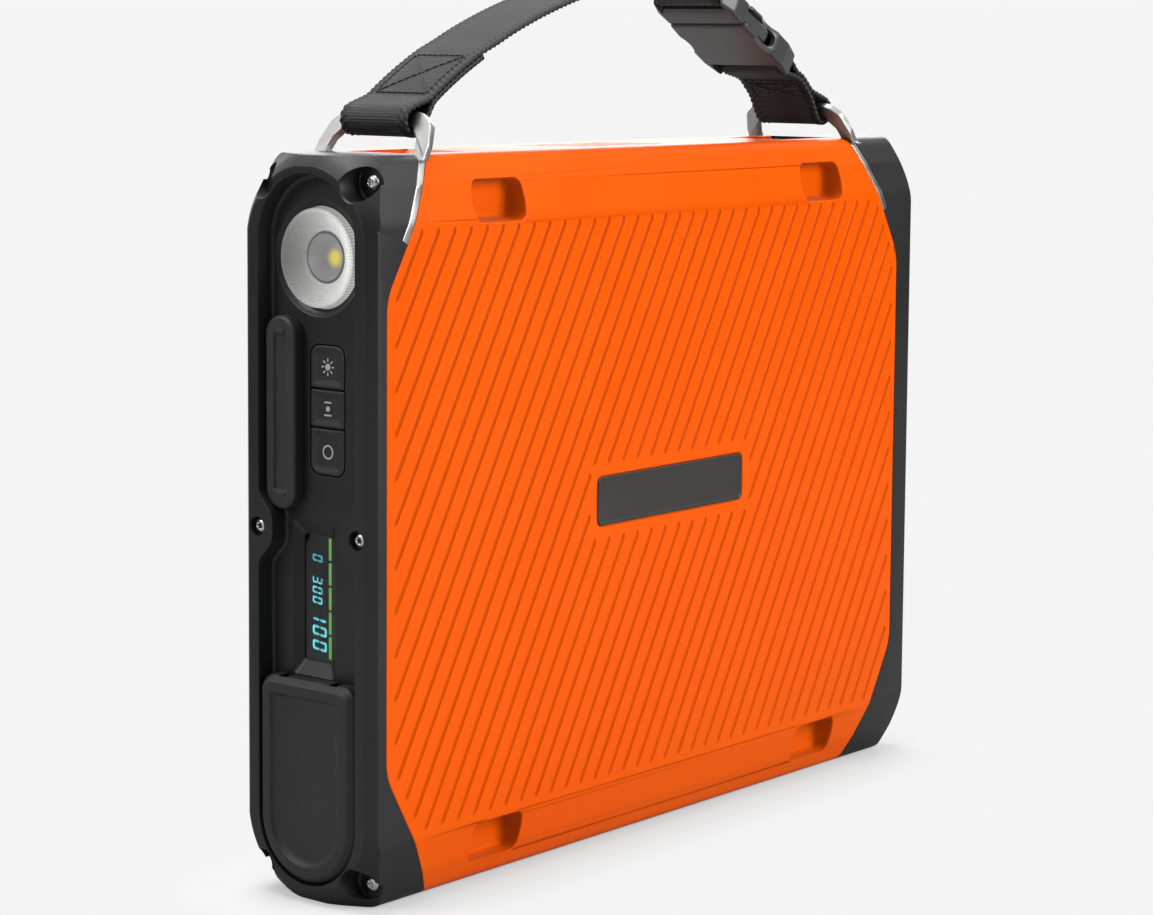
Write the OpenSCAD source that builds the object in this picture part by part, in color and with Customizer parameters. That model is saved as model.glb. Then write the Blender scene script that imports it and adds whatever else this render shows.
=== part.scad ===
/* [Body] */
// Overall width, end cap to end cap
body_w = 320; // [290:1:400]
// Height of the body, without the strap
body_h = 250; // [205:1:310]
// Thickness of the body, front face to rear face
body_t = 60; // [58:1:76]
// Wall of the sleeve and of the end caps
wall = 3; // [2.5:0.1:4]
// Width of the bevel round each end face
end_bevel = 3.5; // [1:0.5:5]

/* [Seams] */
// Distance from the ported end to the sleeve, along the middle of the seam
seam_l = 7; // [7:0.5:12]
// Distance from the plain end to the sleeve
seam_r = 13; // [8:0.5:18]
// Height above each edge where the seam starts to lean inward
seam_rise = 46; // [40:1:52]
// Lean of the seam and of the rings from the vertical
seam_lean = 30; // [20:1:34]

/* [Lash pockets] */
// Distance of each pocket from the middle of the body
pocket_x = 95.5; // [70:0.5:100]
// Width of a pocket
pocket_w = 26; // [18:0.5:34]
// Height of a pocket
pocket_h = 14.4; // [10:0.2:15]
// Depth of a pocket, behind the flat face
pocket_d = 10; // [6:0.5:10]
// Distance from the top edge to the upper pockets
pocket_top = 8.7; // [7:0.1:9]
// Distance from the bottom edge to the lower pockets
pocket_bot = 7; // [6:0.1:8]

/* [Name plate] */
// Width of the bare plate
plate_w = 86.3; // [60:0.1:120]
// Height of the bare plate
plate_h = 17.4; // [12:0.1:24]

/* [End panel] */
// Radius of the recess in each end cap
recess_r = 22; // [20:0.5:23]
// Depth of the recess in the ported end
recess_d = 6.5; // [5:0.1:6.5]
// Thickness of the panel behind the recess
panel_t = 3; // [2.5:0.1:4]
// Radius of the lamp lens
lens_r = 16.8; // [12:0.1:18]
// Distance from the top edge to the middle of the lamp
lamp_drop = 34; // [30:0.5:38]
// Travel of a push button
button_travel = 1; // [0.5:0.1:1]
// Width of the button row
button_w = 15.4; // [12:0.1:16]
// Width of the port cover
cover_w = 13.6; // [13.6:0.1:14]
// Length of the port cover
cover_l = 65; // [62:0.5:68]
// Height of the outlet cover above the bottom edge
outlet_top = 75.5; // [72:0.5:75.5]

/* [Rings and strap] */
// Thickness of the steel rings
ring_t = 3; // [2:0.1:4]
// Height of the rings above the body
ring_rise = 13.5; // [12:0.5:18]
// Width of the webbing
strap_w = 30; // [20:1:30]
// Thickness of one layer of webbing
strap_t = 1.7; // [1.2:0.1:2]
// Width of the buckle
buckle_w = 38; // [38:1:44]
// Thickness of the buckle
buckle_t = 10; // [9:0.5:12]

/* [Battery] */
// Diameter of a cell
cell_d = 18.3; // [18:0.1:19]
// Length of a cell
cell_l = 65; // [60:0.5:70]
// Distance between cells
cell_pitch = 19.2; // [19.1:0.1:19.6]

/* [Fan] */
// Side of the square fan
fan_w = 40; // [36:1:40]
// Depth of the fan
fan_h = 10; // [8:0.5:12]

/* [Hidden] */
$fn = 48;

orange = "#f6690f";
black = "#343434";
hx = body_w / 2;
hy = body_t / 2;
H = body_h;
fit = 0.15;
gap = 0.3;
big = 400;
sl = hx - seam_l;
sr = hx - seam_r;
lean_tan = tan(seam_lean);
floor_x = -hx + recess_d;
back_x = floor_x + panel_t;
mid_z = H / 2;
recess_z0 = recess_r + 6;
recess_z1 = H - recess_r - 6;
lamp_z = H - lamp_drop;
screw_r = 1.5;
corner_y = hy - 8.5;
corner_z = 8.5;
side_y = hy - 7.2;
corner_seat_l = -sl + 3;
corner_seat_r = sr + 3;
side_seat = hx - 3;
screw_hole = screw_r + 0.2;
screw_bite = screw_r + 0.05;
boss_r = 4;

// ---- helpers for outlines ----
function unit(v) = v / norm(v);
function arc_corner(a, p, b, r, n) =
  let (u = unit(a - p), v = unit(b - p), h = acos(u * v) / 2, m = p + unit(u + v) * r / sin(h),
       s = p + u * r / tan(h) - m, e = p + v * r / tan(h) - m)
  [for (i = [0:n]) let (t = i / n, q = s * (1 - t) + e * t) m + unit(q) * r];
function rounded(pts, r, n = 6) =
  [for (i = [0:len(pts) - 1])
    each arc_corner(pts[(i + len(pts) - 1) % len(pts)], pts[i], pts[(i + 1) % len(pts)],
                    is_list(r) ? r[i] : r, n)];
function rect(x0, y0, x1, y1) = [[x0, y0], [x1, y0], [x1, y1], [x0, y1]];
function disc(x, y, r, n = 32) = [for (i = [0:n - 1]) [x + r * cos(i * 360 / n), y + r * sin(i * 360 / n)]];
function stadium(y0, z0, y1, z1, n = 16) =
  let (r = (y1 - y0) / 2, m = (y0 + y1) / 2)
  concat([for (i = [0:n]) [m - r * cos(i * 180 / n), z0 + r - r * sin(i * 180 / n)]],
         [for (i = [0:n]) [m + r * cos(i * 180 / n), z1 - r + r * sin(i * 180 / n)]]);

// ---- helpers for solids ----
module prism_x(pts, x0, x1) { translate([x0, 0, 0]) rotate([90, 0, 90]) linear_extrude(x1 - x0) polygon(pts); }
module prism_y(pts, y0, y1) { translate([0, y1, 0]) rotate([90, 0, 0]) linear_extrude(y1 - y0) polygon(pts); }
module prism_z(pts, z0, z1) { translate([0, 0, z0]) linear_extrude(z1 - z0) polygon(pts); }
module box(x0, y0, z0, x1, y1, z1) { translate([x0, y0, z0]) cube([x1 - x0, y1 - y0, z1 - z0]); }
module rod_x(y, z, r, x0, x1) { translate([x0, y, z]) rotate([0, 90, 0]) cylinder(h = x1 - x0, r = r); }
module rod_y(x, z, r, y0, y1) { translate([x, y0, z]) rotate([-90, 0, 0]) cylinder(h = y1 - y0, r = r); }
module rod_z(x, y, r, z0, z1) { translate([x, y, z0]) cylinder(h = z1 - z0, r = r); }

// ---- outline of the body, seen from the end ----
q_out = [[hy - 10, 0], [hy - 8.2, 0.4], [hy - 6.7, 1.6], [hy - 5.5, 3.5], [hy - 3, 10], [hy, 22]];
function q_in(w) = [[hy - 10, w], [hy - 3 - w, 10 + 0.25 * w], [hy - w, 22]];
function four(q) = let (n = len(q) - 1)
  concat(q, [for (i = [n:-1:0]) [q[i].x, H - q[i].y]],
         [for (i = [0:n]) [-q[i].x, H - q[i].y]], [for (i = [n:-1:0]) [-q[i].x, q[i].y]]);
outer_pts = four(q_out);
function inner_pts(w) = four(q_in(w));

// seam between sleeve and cap, seen from the front
function seam(s, back) = let (k = lean_tan * seam_rise)
  [[back, -1], [s - k - lean_tan, -1], [s, seam_rise], [s, H - seam_rise], [s - k - lean_tan, H + 1], [back, H + 1]];
function seam_side(s) = rounded(seam(s, -40), [1, 1, 20, 20, 1, 1], 5);
function flip(pts) = [for (p = pts) [-p.x, p.y]];

module sleeve_side() {
  union() {
    prism_y(seam_side(sr), -hy - 5, hy + 5);
    prism_y(flip(seam_side(sl)), -hy - 5, hy + 5);
  }
}

// ---- one ring, in its leaning plane: v runs up the slope from the top face ----
ring_cos = cos(seam_lean);
bar_z = H + ring_rise - 2.75;
ring_half = hy - 4.7;
function up(z) = (z - H - ring_t / 2 * sin(seam_lean)) / ring_cos;
ring_out = [[hy + 2, up(H - 28)], [hy + 2, up(H - 6)], [ring_half, up(H - 3)], [ring_half, up(H)],
  [ring_half - 0.7, up(H + 4)], [ring_half - 2.8, up(H + ring_rise - 5.5)],
  [ring_half - 6.3, up(H + ring_rise - 2)], [ring_half - 9.8, up(H + ring_rise - 0.4)],
  [ring_half - 12.8, up(H + ring_rise)]];
ring_in = [[corner_y - 4.3, up(H - 30)], [corner_y - 4.3, up(H - 4)], [ring_half - 5.5, up(H - 3)],
  [ring_half - 5.5, up(H + 1)], [ring_half - 7.1, up(bar_z - 5)], [strap_w / 2 + 1, up(bar_z - 2.75)]];
function both(pts) = concat(pts, [for (i = [len(pts) - 1:-1:0]) [-pts[i].x, pts[i].y]]);
// face of the sleeve that the ring lies against, at the top edge
function ring_foot(s) = s - lean_tan * seam_rise;
function ring_x(s, z) = ring_foot(s) + ring_t / 2 / ring_cos - lean_tan * (z - H);

module ring_slab(s, t, clear) {
  translate([ring_foot(s), 0, H]) rotate([0, -seam_lean, 0]) difference() {
    prism_x(both(ring_out), 0, t);
    prism_x(both([for (p = ring_in) [p.x - clear, p.y]]), -1, t + 1);
  }
}
module ring_cut(s) { ring_slab(s, ring_t + 0.1, 0.1); }
module ring(s) {
  color("#c8c8c4") difference() {
    intersection() {
      ring_slab(s, ring_t, 0);
      union() {
        prism_x(outer_pts, -big, big);
        box(-big, -big, H - 3, big, big, H + 60);
      }
    }
    for (m = [-1, 1]) rod_x(m * corner_y, H - corner_z, screw_hole, 0, sr + 20);
  }
}
module left_ring() { mirror([1, 0, 0]) ring(sl); }
module right_ring() { ring(sr); }

// ---- sleeve ----
vent_x = -12;
fan_top = H - 15;
board_y = hy - 10;
board_pts = [[vent_x - 96, 34], [vent_x - 96, H - 41], [vent_x - 4, 34], [vent_x - 4, H - 41]];
module pockets(grow) {
  for (sx = [-1, 1], sy = [-1, 1], z = [pocket_bot, H - pocket_top - pocket_h])
    translate([sx * pocket_x, sy * (hy - pocket_d / 2), z + pocket_h / 2])
      cube([pocket_w + 2 * grow, pocket_d + 2 * grow, pocket_h + 2 * grow], center = true);
}
module top_recess(s, grow) {
  k = ring_foot(s);
  pts = [[k - 32 - grow, H + 0.5], [k - 22 - grow, H - 3.5 - grow], [k + 2, H - 3.5 - grow], [k + 2, H + 0.5]];
  prism_y(pts, -14 - grow, 14 + grow);
}
module sleeve_bosses() {
  for (m = [-1, 1]) {
    for (z = [corner_z, H - corner_z]) rod_x(m * corner_y, z, boss_r, -sl + 20, -sl + 38);
    for (z = [corner_z, H - corner_z]) rod_x(m * corner_y, z, boss_r, sr - 38, sr - 20);
    rod_x(m * side_y, mid_z, boss_r, back_x, back_x + 10);
    rod_x(m * side_y, mid_z, boss_r, sr - 12, sr + 1);
    box(back_x, min(m * side_y, m * hy), mid_z - 3, back_x + 10, max(m * side_y, m * hy), mid_z + 3);
    box(sr - 12, min(m * side_y, m * hy), mid_z - 3, sr + 1, max(m * side_y, m * hy), mid_z + 3);
  }
  for (p = board_pts) rod_y(p.x, p.y, 3, board_y + 1.6, hy);
  for (mx = [-1, 1], my = [-1, 1]) rod_z(vent_x + mx * (fan_w / 2 - 4), my * (fan_w / 2 - 4), 2.8, fan_top, H);
}
module body_sleeve() {
  color(orange) difference() {
    intersection() {
      union() {
        difference() {
          prism_x(outer_pts, -hx, hx);
          difference() {
            prism_x(inner_pts(wall), -big, big);
            pockets(2);
            top_recess(sr, 2);
            mirror([1, 0, 0]) top_recess(sl, 2);
          }
        }
        intersection() {
          sleeve_bosses();
          prism_x(inner_pts(wall - 1), -big, big);
        }
      }
      sleeve_side();
    }
    pockets(0);
    translate([0, 0, 0]) for (sy = [-1, 1], z = [pocket_bot, H - pocket_top - pocket_h], sx = [-1, 1])
      translate([sx * pocket_x, sy * (hy + 2), z + pocket_h / 2]) cube([pocket_w, 6, pocket_h], center = true);
    top_recess(sr, 0);
    mirror([1, 0, 0]) top_recess(sl, 0);
    for (i = [-2:2]) translate([vent_x + i * 10.5, 0, H]) rotate([0, 0, 30]) cube([3, 26, 16], center = true);
    prism_y(rounded(rect(-plate_w / 2 - 0.1, mid_z - plate_h / 2 - 0.1, plate_w / 2 + 0.1, mid_z + plate_h / 2 + 0.1), 2.6),
            -hy - 1, -hy + 0.6);
    for (m = [-1, 1]) {
      for (z = [corner_z, H - corner_z]) rod_x(m * corner_y, z, screw_bite, -hx, -sl + 36);
      for (z = [corner_z, H - corner_z]) rod_x(m * corner_y, z, screw_bite, sr - 36, hx);
      rod_x(m * side_y, mid_z, screw_bite, -hx, back_x + 8.5);
      rod_x(m * side_y, mid_z, screw_bite, sr - 10.5, hx);
    }
    for (p = board_pts) rod_y(p.x, p.y, 1.25, board_y, hy - 3.4);
    for (mx = [-1, 1], my = [-1, 1])
      rod_z(vent_x + mx * (fan_w / 2 - 4), my * (fan_w / 2 - 4), 1.25, fan_top - 1, fan_top + 9);
  }
}
module name_plate() {
  color("#3c3c3c") prism_y(rounded(rect(-plate_w / 2, mid_z - plate_h / 2, plate_w / 2, mid_z + plate_h / 2), 2.5),
                           -hy - 0.2, -hy + 0.6);
}

// ---- end caps ----
end_plan = [[-hx, -hy + end_bevel], [-hx + end_bevel, -hy], [0, -hy], [0, hy], [-hx + end_bevel, hy], [-hx, hy - end_bevel]];
end_side = [[-hx, 4.5], [-hx + 1.4, 1.3], [-hx + 4.5, 0], [0, 0], [0, H], [-hx + 4.5, H], [-hx + 1.4, H - 1.3], [-hx, H - 4.5]];
rim_pts = stadium(-recess_r - 4.4, 6 - 4.4, recess_r + 4.4, H - 6 + 4.4);
recess_pts = stadium(-recess_r, 6, recess_r, H - 6);
side_lug = 6.8;

// cap seen as the left one, with its seam at s, its screw seats and its recess depth
module cap_shell(s, corner_seat, depth, inner) {
  difference() {
    union() {
      difference() {
        intersection() {
          prism_x(outer_pts, -hx, 0);
          prism_z(end_plan, -1, H + 1);
          prism_y(end_side, -hy - 1, hy + 1);
          difference() {
            box(-hx, -hy, 0, 0, hy, H);
            prism_y(flip(seam_side(s)), -hy - 5, hy + 5);
          }
        }
        prism_x(inner_pts(wall), inner, 1);
      }
      // solid behind the recess, inside the sleeve's mouth
      prism_x(inner_pts(wall + fit), -hx + depth, inner);
      // tubes that carry the corner screws to the sleeve
      intersection() {
        for (m = [-1, 1], z = [corner_z, H - corner_z]) prism_x(disc(m * corner_y, z, boss_r, 20), inner - 0.5, 0);
        prism_x(inner_pts(wall - 1), -hx, 0);
        difference() {
          box(-hx, -hy, 0, 0, hy, H);
          prism_y(flip(seam_side(s)), -hy - 5, hy + 5);
        }
      }
    }
    difference() {
      prism_x(recess_pts, -hx - 1, -hx + depth);
      for (m = [-1, 1]) prism_x(disc(m * side_y, mid_z, side_lug), -hx - 2, -hx + depth + 1);
    }
    // corner pockets, which stop at the rim
    difference() {
      for (m = [-1, 1], z = [corner_z, H - corner_z]) prism_x(disc(m * (corner_y + 1), z, 7.4), -hx - 1, corner_seat);
      prism_x(rim_pts, -hx - 2, corner_seat + 1);
    }
    for (m = [-1, 1]) {
      for (z = [corner_z, H - corner_z]) rod_x(m * corner_y, z, 3.1, -hx - 1, corner_seat);
      for (z = [corner_z, H - corner_z]) rod_x(m * corner_y, z, screw_hole, corner_seat - 1, 0);
      rod_x(m * side_y, mid_z, 3.2, -hx - 1, -side_seat);
      rod_x(m * side_y, mid_z, screw_hole, -side_seat - 1, 0);
    }
    mirror([1, 0, 0]) ring_cut(s);
  }
}

// ---- places on the end panel ----
strip_y0 = -11.5;
strip_y1 = strip_y0 + button_w;
strip_z0 = mid_z + 19.1;
strip_z1 = strip_z0 + 43.2;
cut1 = strip_z0 + 15.6;
cut2 = strip_z0 + 28.6;
cover_y1 = recess_r - 1.3;
cover_y0 = cover_y1 - cover_w;
cover_ym = (cover_y0 + cover_y1) / 2;
cover_z0 = mid_z + 6.5;
cover_z1 = cover_z0 + cover_l;
disp = [-7, mid_z - 49.2, 11.9, mid_z + 2.6];
view = [disp[0] + 3.2, disp[1] + 4.4, disp[2] - 2.6, disp[3] - 4.4];
pane = [disp[0] + 1, disp[1] + 2.2, disp[2] - 0.4, disp[3] - 2.2];
out_face = [-16.5, 14.5, 16.5, outlet_top - 8];
port_pin = [-hx + 3.4, cover_y1 - 1.3];
port_pin_z = [cover_z0 + 19, cover_z0 + cover_l - 19];
outlet_pin = [-hx + 2.4, outlet_top - 2.7];
outlet_lug_y = 11.5;

module left_end_cap() {
  color(black) difference() {
    union() {
      cap_shell(sl, corner_seat_l, recess_d, back_x);
      // lugs that carry the pin of the port cover
      for (z = [port_pin_z[0] + 1.5, port_pin_z[1] - 1.5]) {
        rod_z(port_pin.x, port_pin.y, 1.2, z - 1.5, z + 1.5);
        box(port_pin.x, port_pin.y - 1, z - 1.5, floor_x + 0.5, port_pin.y + 1, z + 1.5);
      }
      // lugs that carry the pin of the outlet cover
      for (m = [-1, 1]) {
        rod_y(outlet_pin.x, outlet_pin.y, 1.2, m * outlet_lug_y - 1.5, m * outlet_lug_y + 1.5);
        box(outlet_pin.x, m * outlet_lug_y - 1.5, outlet_pin.y - 1.1, floor_x + 0.5, m * outlet_lug_y + 1.5, outlet_pin.y + 1.1);
      }
      // pillars for the button board
      for (y = [-8, 2], z = [strip_z0 - 4, strip_z1 + 4]) rod_x(y, z, 2, back_x - 0.5, back_x + 6.5);
    }
    // lamp
    rod_x(0, lamp_z, lens_r + 0.3, -hx, back_x + 1);
    rod_x(0, lamp_z, lens_r + 1.7, -hx, floor_x + 1.3);
    // buttons
    prism_x(rounded(rect(strip_y0 - 0.2, strip_z0 - 0.2, strip_y1 + 0.2, strip_z1 + 0.2), 4), floor_x - 1, back_x + 1);
    // display, with sloped walls
    hull() {
      prism_x(rect(disp[0], disp[1], disp[2], disp[3]), floor_x, floor_x + 0.01);
      prism_x(rect(view[0], view[1], view[2], view[3]), back_x, back_x + 0.01);
    }
    // ports
    prism_x(stadium(cover_y0 + 1.3, cover_z0 + 1.5, cover_y1 - 1.3, cover_z1 - 1.5), floor_x - 0.01, back_x + 1);
    // outlet
    prism_x(rounded(rect(out_face[0], out_face[1], out_face[2], out_face[3]), 4), floor_x - 0.01, back_x + 1);
    // bores of the two hinge pins
    rod_z(port_pin.x, port_pin.y, 0.7, port_pin_z[0] - 1, port_pin_z[1] + 1);
    rod_y(outlet_pin.x, outlet_pin.y, 0.7, -outlet_lug_y - 3, outlet_lug_y + 3);
  }
}
module right_end_cap() {
  color(black) mirror([1, 0, 0]) cap_shell(sr, -corner_seat_r, 2.5, -hx + 2.5 + panel_t);
}

// ---- screws: pan head and shank along X ----
module cap_screw(y, z, seat, len) {
  translate([seat, y, z]) rotate([0, 90, 0]) difference() {
    union() {
      translate([0, 0, -2.1]) cylinder(h = 2.1, r = 2.8);
      translate([0, 0, -0.1]) cylinder(h = len + 0.1, r = screw_r);
    }
    for (a = [0, 90]) rotate([0, 0, a]) translate([0, 0, -2]) cube([3.4, 0.8, 1.6], center = true);
  }
}
module left_cap_screws() {
  color("#2b2b2b") for (m = [-1, 1]) {
    for (z = [corner_z, H - corner_z]) cap_screw(m * corner_y, z, corner_seat_l, 30);
    cap_screw(m * side_y, mid_z, -side_seat, back_x + 8 + side_seat);
  }
}
module right_cap_screws() {
  color("#2b2b2b") mirror([1, 0, 0]) for (m = [-1, 1]) {
    for (z = [corner_z, H - corner_z]) cap_screw(m * corner_y, z, -corner_seat_r, 35);
    cap_screw(m * side_y, mid_z, -side_seat, side_seat - sr + 10);
  }
}

// ---- lamp ----
module lamp_lens() {
  color("#e8eef0") union() {
    rod_x(0, lamp_z, lens_r, floor_x - 1.5, back_x);
    rod_x(0, lamp_z, lens_r + 1.5, back_x, back_x + 1.2);
  }
}
module lamp_collimator() {
  color("#dfe6e8") translate([back_x + 1.2, 0, lamp_z]) rotate([0, 90, 0]) cylinder(h = 10.3, r1 = 8.9, r2 = 4.5);
}
module lamp_reflector() {
  color("#b9bcbd") translate([back_x + 1.2, 0, lamp_z]) rotate([0, 90, 0]) difference() {
    cylinder(h = 11.3, r = lens_r + 1);
    translate([0, 0, -0.01]) cylinder(h = 11.4, r1 = lens_r - 0.5, r2 = 8);
  }
}
module lamp_board() {
  color("#e9d44a") union() {
    rod_x(0, lamp_z, lens_r + 1, back_x + 12.5, back_x + 14.1);
    box(back_x + 11.5, -2, lamp_z - 2, back_x + 12.6, 2, lamp_z + 2);
  }
}

// ---- buttons ----
module button(z0, z1, r) {
  y0 = strip_y0;
  y1 = strip_y1;
  zm = (z0 + z1) / 2;
  color("#4a4a4a") union() {
    prism_x(rounded(rect(y0, z0, y1, z1), r), floor_x - 0.1, back_x + 1.5);
    box(back_x + 0.2, y0 - 1.4, z0 + 4.2, back_x + 1.5, y1 + 1.4, z1 - 4.2);
    box(back_x + 1, -5.8, zm - 2, back_x + 3.1, -1.8, zm + 2);
  }
}
module outlet_button() { button(strip_z0, cut1 - 0.2, [3.8, 3.8, 0.6, 0.6]); }
module port_button() { button(cut1 + 0.2, cut2 - 0.2, 0.6); }
module light_button() { button(cut2 + 0.2, strip_z1, [0.6, 0.6, 3.8, 3.8]); }
module button_board() {
  color("#1f6b3a") union() {
    box(back_x + 6.5, -14, strip_z0 - 7, back_x + 8.1, 5, strip_z1 + 7);
    for (zm = [(strip_z0 + cut1) / 2, (cut1 + cut2) / 2, (cut2 + strip_z1) / 2])
      box(back_x + 3.1 + button_travel + 0.2, -6.8, zm - 3, back_x + 6.6, -0.8, zm + 3);
  }
}

// ---- display ----
module display_window() {
  color("#15191c") prism_x(rounded(rect(pane[0], pane[1], pane[2], pane[3]), 1), back_x, back_x + 1.2);
}
module display_module() {
  color("#2d3f38") union() {
    box(back_x + 1.2, pane[0], pane[1], back_x + 4.2, pane[2], pane[3]);
    box(back_x + 4.2, pane[0] - 1, pane[1] - 1, back_x + 5.8, pane[2] + 1, pane[3] + 1);
  }
}

// ---- port cover, its pin, and the sockets behind ----
module port_cover() {
  face = floor_x - 4.5;
  color("#3f3f3f") difference() {
    union() {
      prism_x(stadium(cover_y0, cover_z0, cover_y1, cover_z1), face + 0.8, floor_x - 0.02);
      prism_x(stadium(cover_y0 + 0.8, cover_z0 + 0.8, cover_y1 - 0.8, cover_z1 - 0.8), face, face + 0.9);
    }
    prism_x(stadium(cover_y0 + 3.4, cover_z0 + 3.4, cover_y1 - 3.4, cover_z1 - 3.4), face - 1, face + 1);
    // relief under the hinge edge
    prism_z([[floor_x + 0.1, port_pin.y], [floor_x + 0.1, cover_y1 + 1], [floor_x - 1.6, cover_y1 + 1],
             [floor_x - 1.6, cover_y1], [floor_x - 0.12, port_pin.y]], cover_z0 - 1, cover_z1 + 1);
    // room for the two lugs
    for (z = [port_pin_z[0] + 1.5, port_pin_z[1] - 1.5])
      box(face - 1, port_pin.y - 1.5, z - 1.7, floor_x + 1, cover_y1 + 1, z + 1.7);
    rod_z(port_pin.x, port_pin.y, 0.72, port_pin_z[0] - 1, port_pin_z[1] + 1);
  }
}
module port_cover_pin() { color("#9a9a98") rod_z(port_pin.x, port_pin.y, 0.67, port_pin_z[0] - 0.8, port_pin_z[1] + 0.8); }
port_list = [[cover_z1 - 8, 4.5, 1.6], [cover_z1 - 20.5, 4.5, 1.6], [cover_z1 - 35, 6.6, 2.9]];
jack_z = cover_z1 - 53.5;
module port_block() {
  y0 = cover_y0 + 1.5;
  y1 = cover_y1 - 1.5;
  color("#222222") difference() {
    union() {
      prism_x(stadium(y0, cover_z0 + 1.7, y1, cover_z1 - 1.7), floor_x + 1, back_x + 14);
      box(back_x, cover_y0 - 0.6, cover_z0 - 1, back_x + 2, cover_y1 + 0.8, cover_z1 + 1);
    }
    for (p = port_list) prism_x(rounded(rect(cover_ym - p[2], p[0] - p[1], cover_ym + p[2], p[0] + p[1]), 1.2), floor_x, floor_x + 9);
    rod_x(cover_ym, jack_z, 3.8, floor_x, floor_x + 9);
  }
}
module port_shells() {
  color("#c9c9c6") {
    for (p = port_list) difference() {
      prism_x(rounded(rect(cover_ym - p[2], p[0] - p[1], cover_ym + p[2], p[0] + p[1]), 1.2), floor_x + 1, floor_x + 9);
      prism_x(rounded(rect(cover_ym - p[2] + 0.4, p[0] - p[1] + 0.4, cover_ym + p[2] - 0.4, p[0] + p[1] - 0.4), 0.8), floor_x, floor_x + 8.5);
    }
    rod_x(cover_ym, jack_z, 1, floor_x + 2.5, floor_x + 9);
  }
}

// ---- outlet cover, its pin, and the socket behind ----
// outline of the cover, grown or shrunk all round
function cover_out(d) =
  let (r = recess_r - 0.5 - d, n = 20)
  concat([for (i = [0:n]) [-r * cos(i * 180 / n), recess_z0 - r * sin(i * 180 / n)]],
         arc_corner([r, 0], [r, outlet_top - d], [0, outlet_top - d], 5, 4),
         arc_corner([0, outlet_top - d], [-r, outlet_top - d], [-r, 0], 5, 4));
module outlet_cover() {
  face = -hx - 1;
  color("#3f3f3f") difference() {
    union() {
      prism_x(cover_out(0), face + 2.4, floor_x - 0.02);
      hull() {
        prism_x(cover_out(0), face + 2.39, face + 2.4);
        prism_x(cover_out(2.4), face, face + 0.01);
      }
    }
    prism_x(cover_out(6.2), face - 1, face + 1.2);
    // relief under the hinge edge
    prism_y([[floor_x + 0.1, outlet_pin.y], [floor_x + 0.1, outlet_top + 1], [floor_x - 1.3, outlet_top + 1],
             [floor_x - 1.3, outlet_top], [floor_x - 0.12, outlet_pin.y]], -hy, hy);
    // room for the two lugs, under a thin skin
    for (m = [-1, 1])
      box(outlet_pin.x - 1.5, m * outlet_lug_y - 1.8, outlet_pin.y - 1.6, floor_x + 1, m * outlet_lug_y + 1.8, outlet_top + 1);
    // hollow for the face of the socket
    prism_x(rounded(rect(out_face[0] + 1, out_face[1] + 1, out_face[2] - 1, outlet_pin.y - 5), 3), floor_x - 1.5, floor_x + 1);
    rod_y(outlet_pin.x, outlet_pin.y, 0.72, -outlet_lug_y - 4, outlet_lug_y + 4);
  }
}
module outlet_cover_pin() { color("#9a9a98") rod_y(outlet_pin.x, outlet_pin.y, 0.67, -outlet_lug_y - 2.4, outlet_lug_y + 2.4); }
module outlet_socket() {
  zm = (out_face[1] + out_face[3]) / 2;
  color("#26282a") difference() {
    union() {
      prism_x(rounded(rect(out_face[0] + 0.2, out_face[1] + 0.2, out_face[2] - 0.2, out_face[3] - 0.2), 3.8), floor_x + 1, back_x + 0.01);
      box(back_x, out_face[0] - 2.5, out_face[1] - 2.5, back_x + 2.5, out_face[2] + 2.5, out_face[3] + 2.5);
      box(back_x + 2.5, out_face[0], out_face[1], back_x + 28, out_face[2], out_face[3]);
    }
    for (y = [-6.35, 6.35]) box(floor_x, y - 1.1, zm - 1, floor_x + 18, y + 1.1, zm + 7.5);
    rod_x(0, zm - 8, 2.6, floor_x, floor_x + 18);
  }
}

// ---- battery: tiers and columns follow the room inside ----
cell_z0 = pocket_bot + pocket_h + 3.1;
sheet_t = 0.6;
tier = cell_l + 2 * sheet_t;
tiers = floor((H - pocket_top - pocket_h - 2 - cell_z0 - sheet_t + 0.01) / tier);
batt_x0 = -2;
cols = floor((sr - 12.4 - batt_x0) / cell_pitch);
batt_x1 = batt_x0 + cols * cell_pitch;
batt_y = cell_pitch;
cell_r = cell_d / 2;
holder_clear = 0.15;
module cell_grid() {
  for (i = [0:cols - 1], j = [-0.5, 0.5]) translate([batt_x0 + (i + 0.5) * cell_pitch, j * cell_pitch, 0]) children();
}
module battery_cells() {
  color("#3f7fb0") for (k = [0:tiers - 1]) cell_grid()
    translate([0, 0, cell_z0 + k * tier]) cylinder(h = cell_l, r = cell_r);
}
module cell_holders() {
  color("#2c2c2c") for (k = [0:tiers - 1], z = [0, cell_l - 5]) difference() {
    union() {
      box(batt_x0, -batt_y, cell_z0 + k * tier + z, batt_x1, batt_y, cell_z0 + k * tier + z + 5);
      for (y = [-14, 14]) rod_x(y, cell_z0 + k * tier + z + 2.5, 2.2, batt_x0 - 2, batt_x0 + 1);
    }
    cell_grid() translate([0, 0, cell_z0 + k * tier + z - 1]) cylinder(h = 7, r = cell_r + holder_clear);
  }
}
module busbar_sheets() {
  color("#b5b8ba") for (k = [0:tiers - 1], z = [-sheet_t, cell_l])
    box(batt_x0 + 1, -batt_y + 1, cell_z0 + k * tier + z, batt_x1 - 1, batt_y - 1, cell_z0 + k * tier + z + sheet_t);
}
module battery_cradle() {
  top = cell_z0 - sheet_t;
  y = hy - pocket_d - 2.5;
  color("#2a2a2a") union() {
    box(batt_x0, -y, top - 3, batt_x1, y, top);
    for (x = [batt_x0 + 4, (batt_x0 + batt_x1) / 2 - 1.5, batt_x1 - 7]) box(x, -y + 2, wall, x + 3, y - 2, top - 2.9);
  }
}
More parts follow.
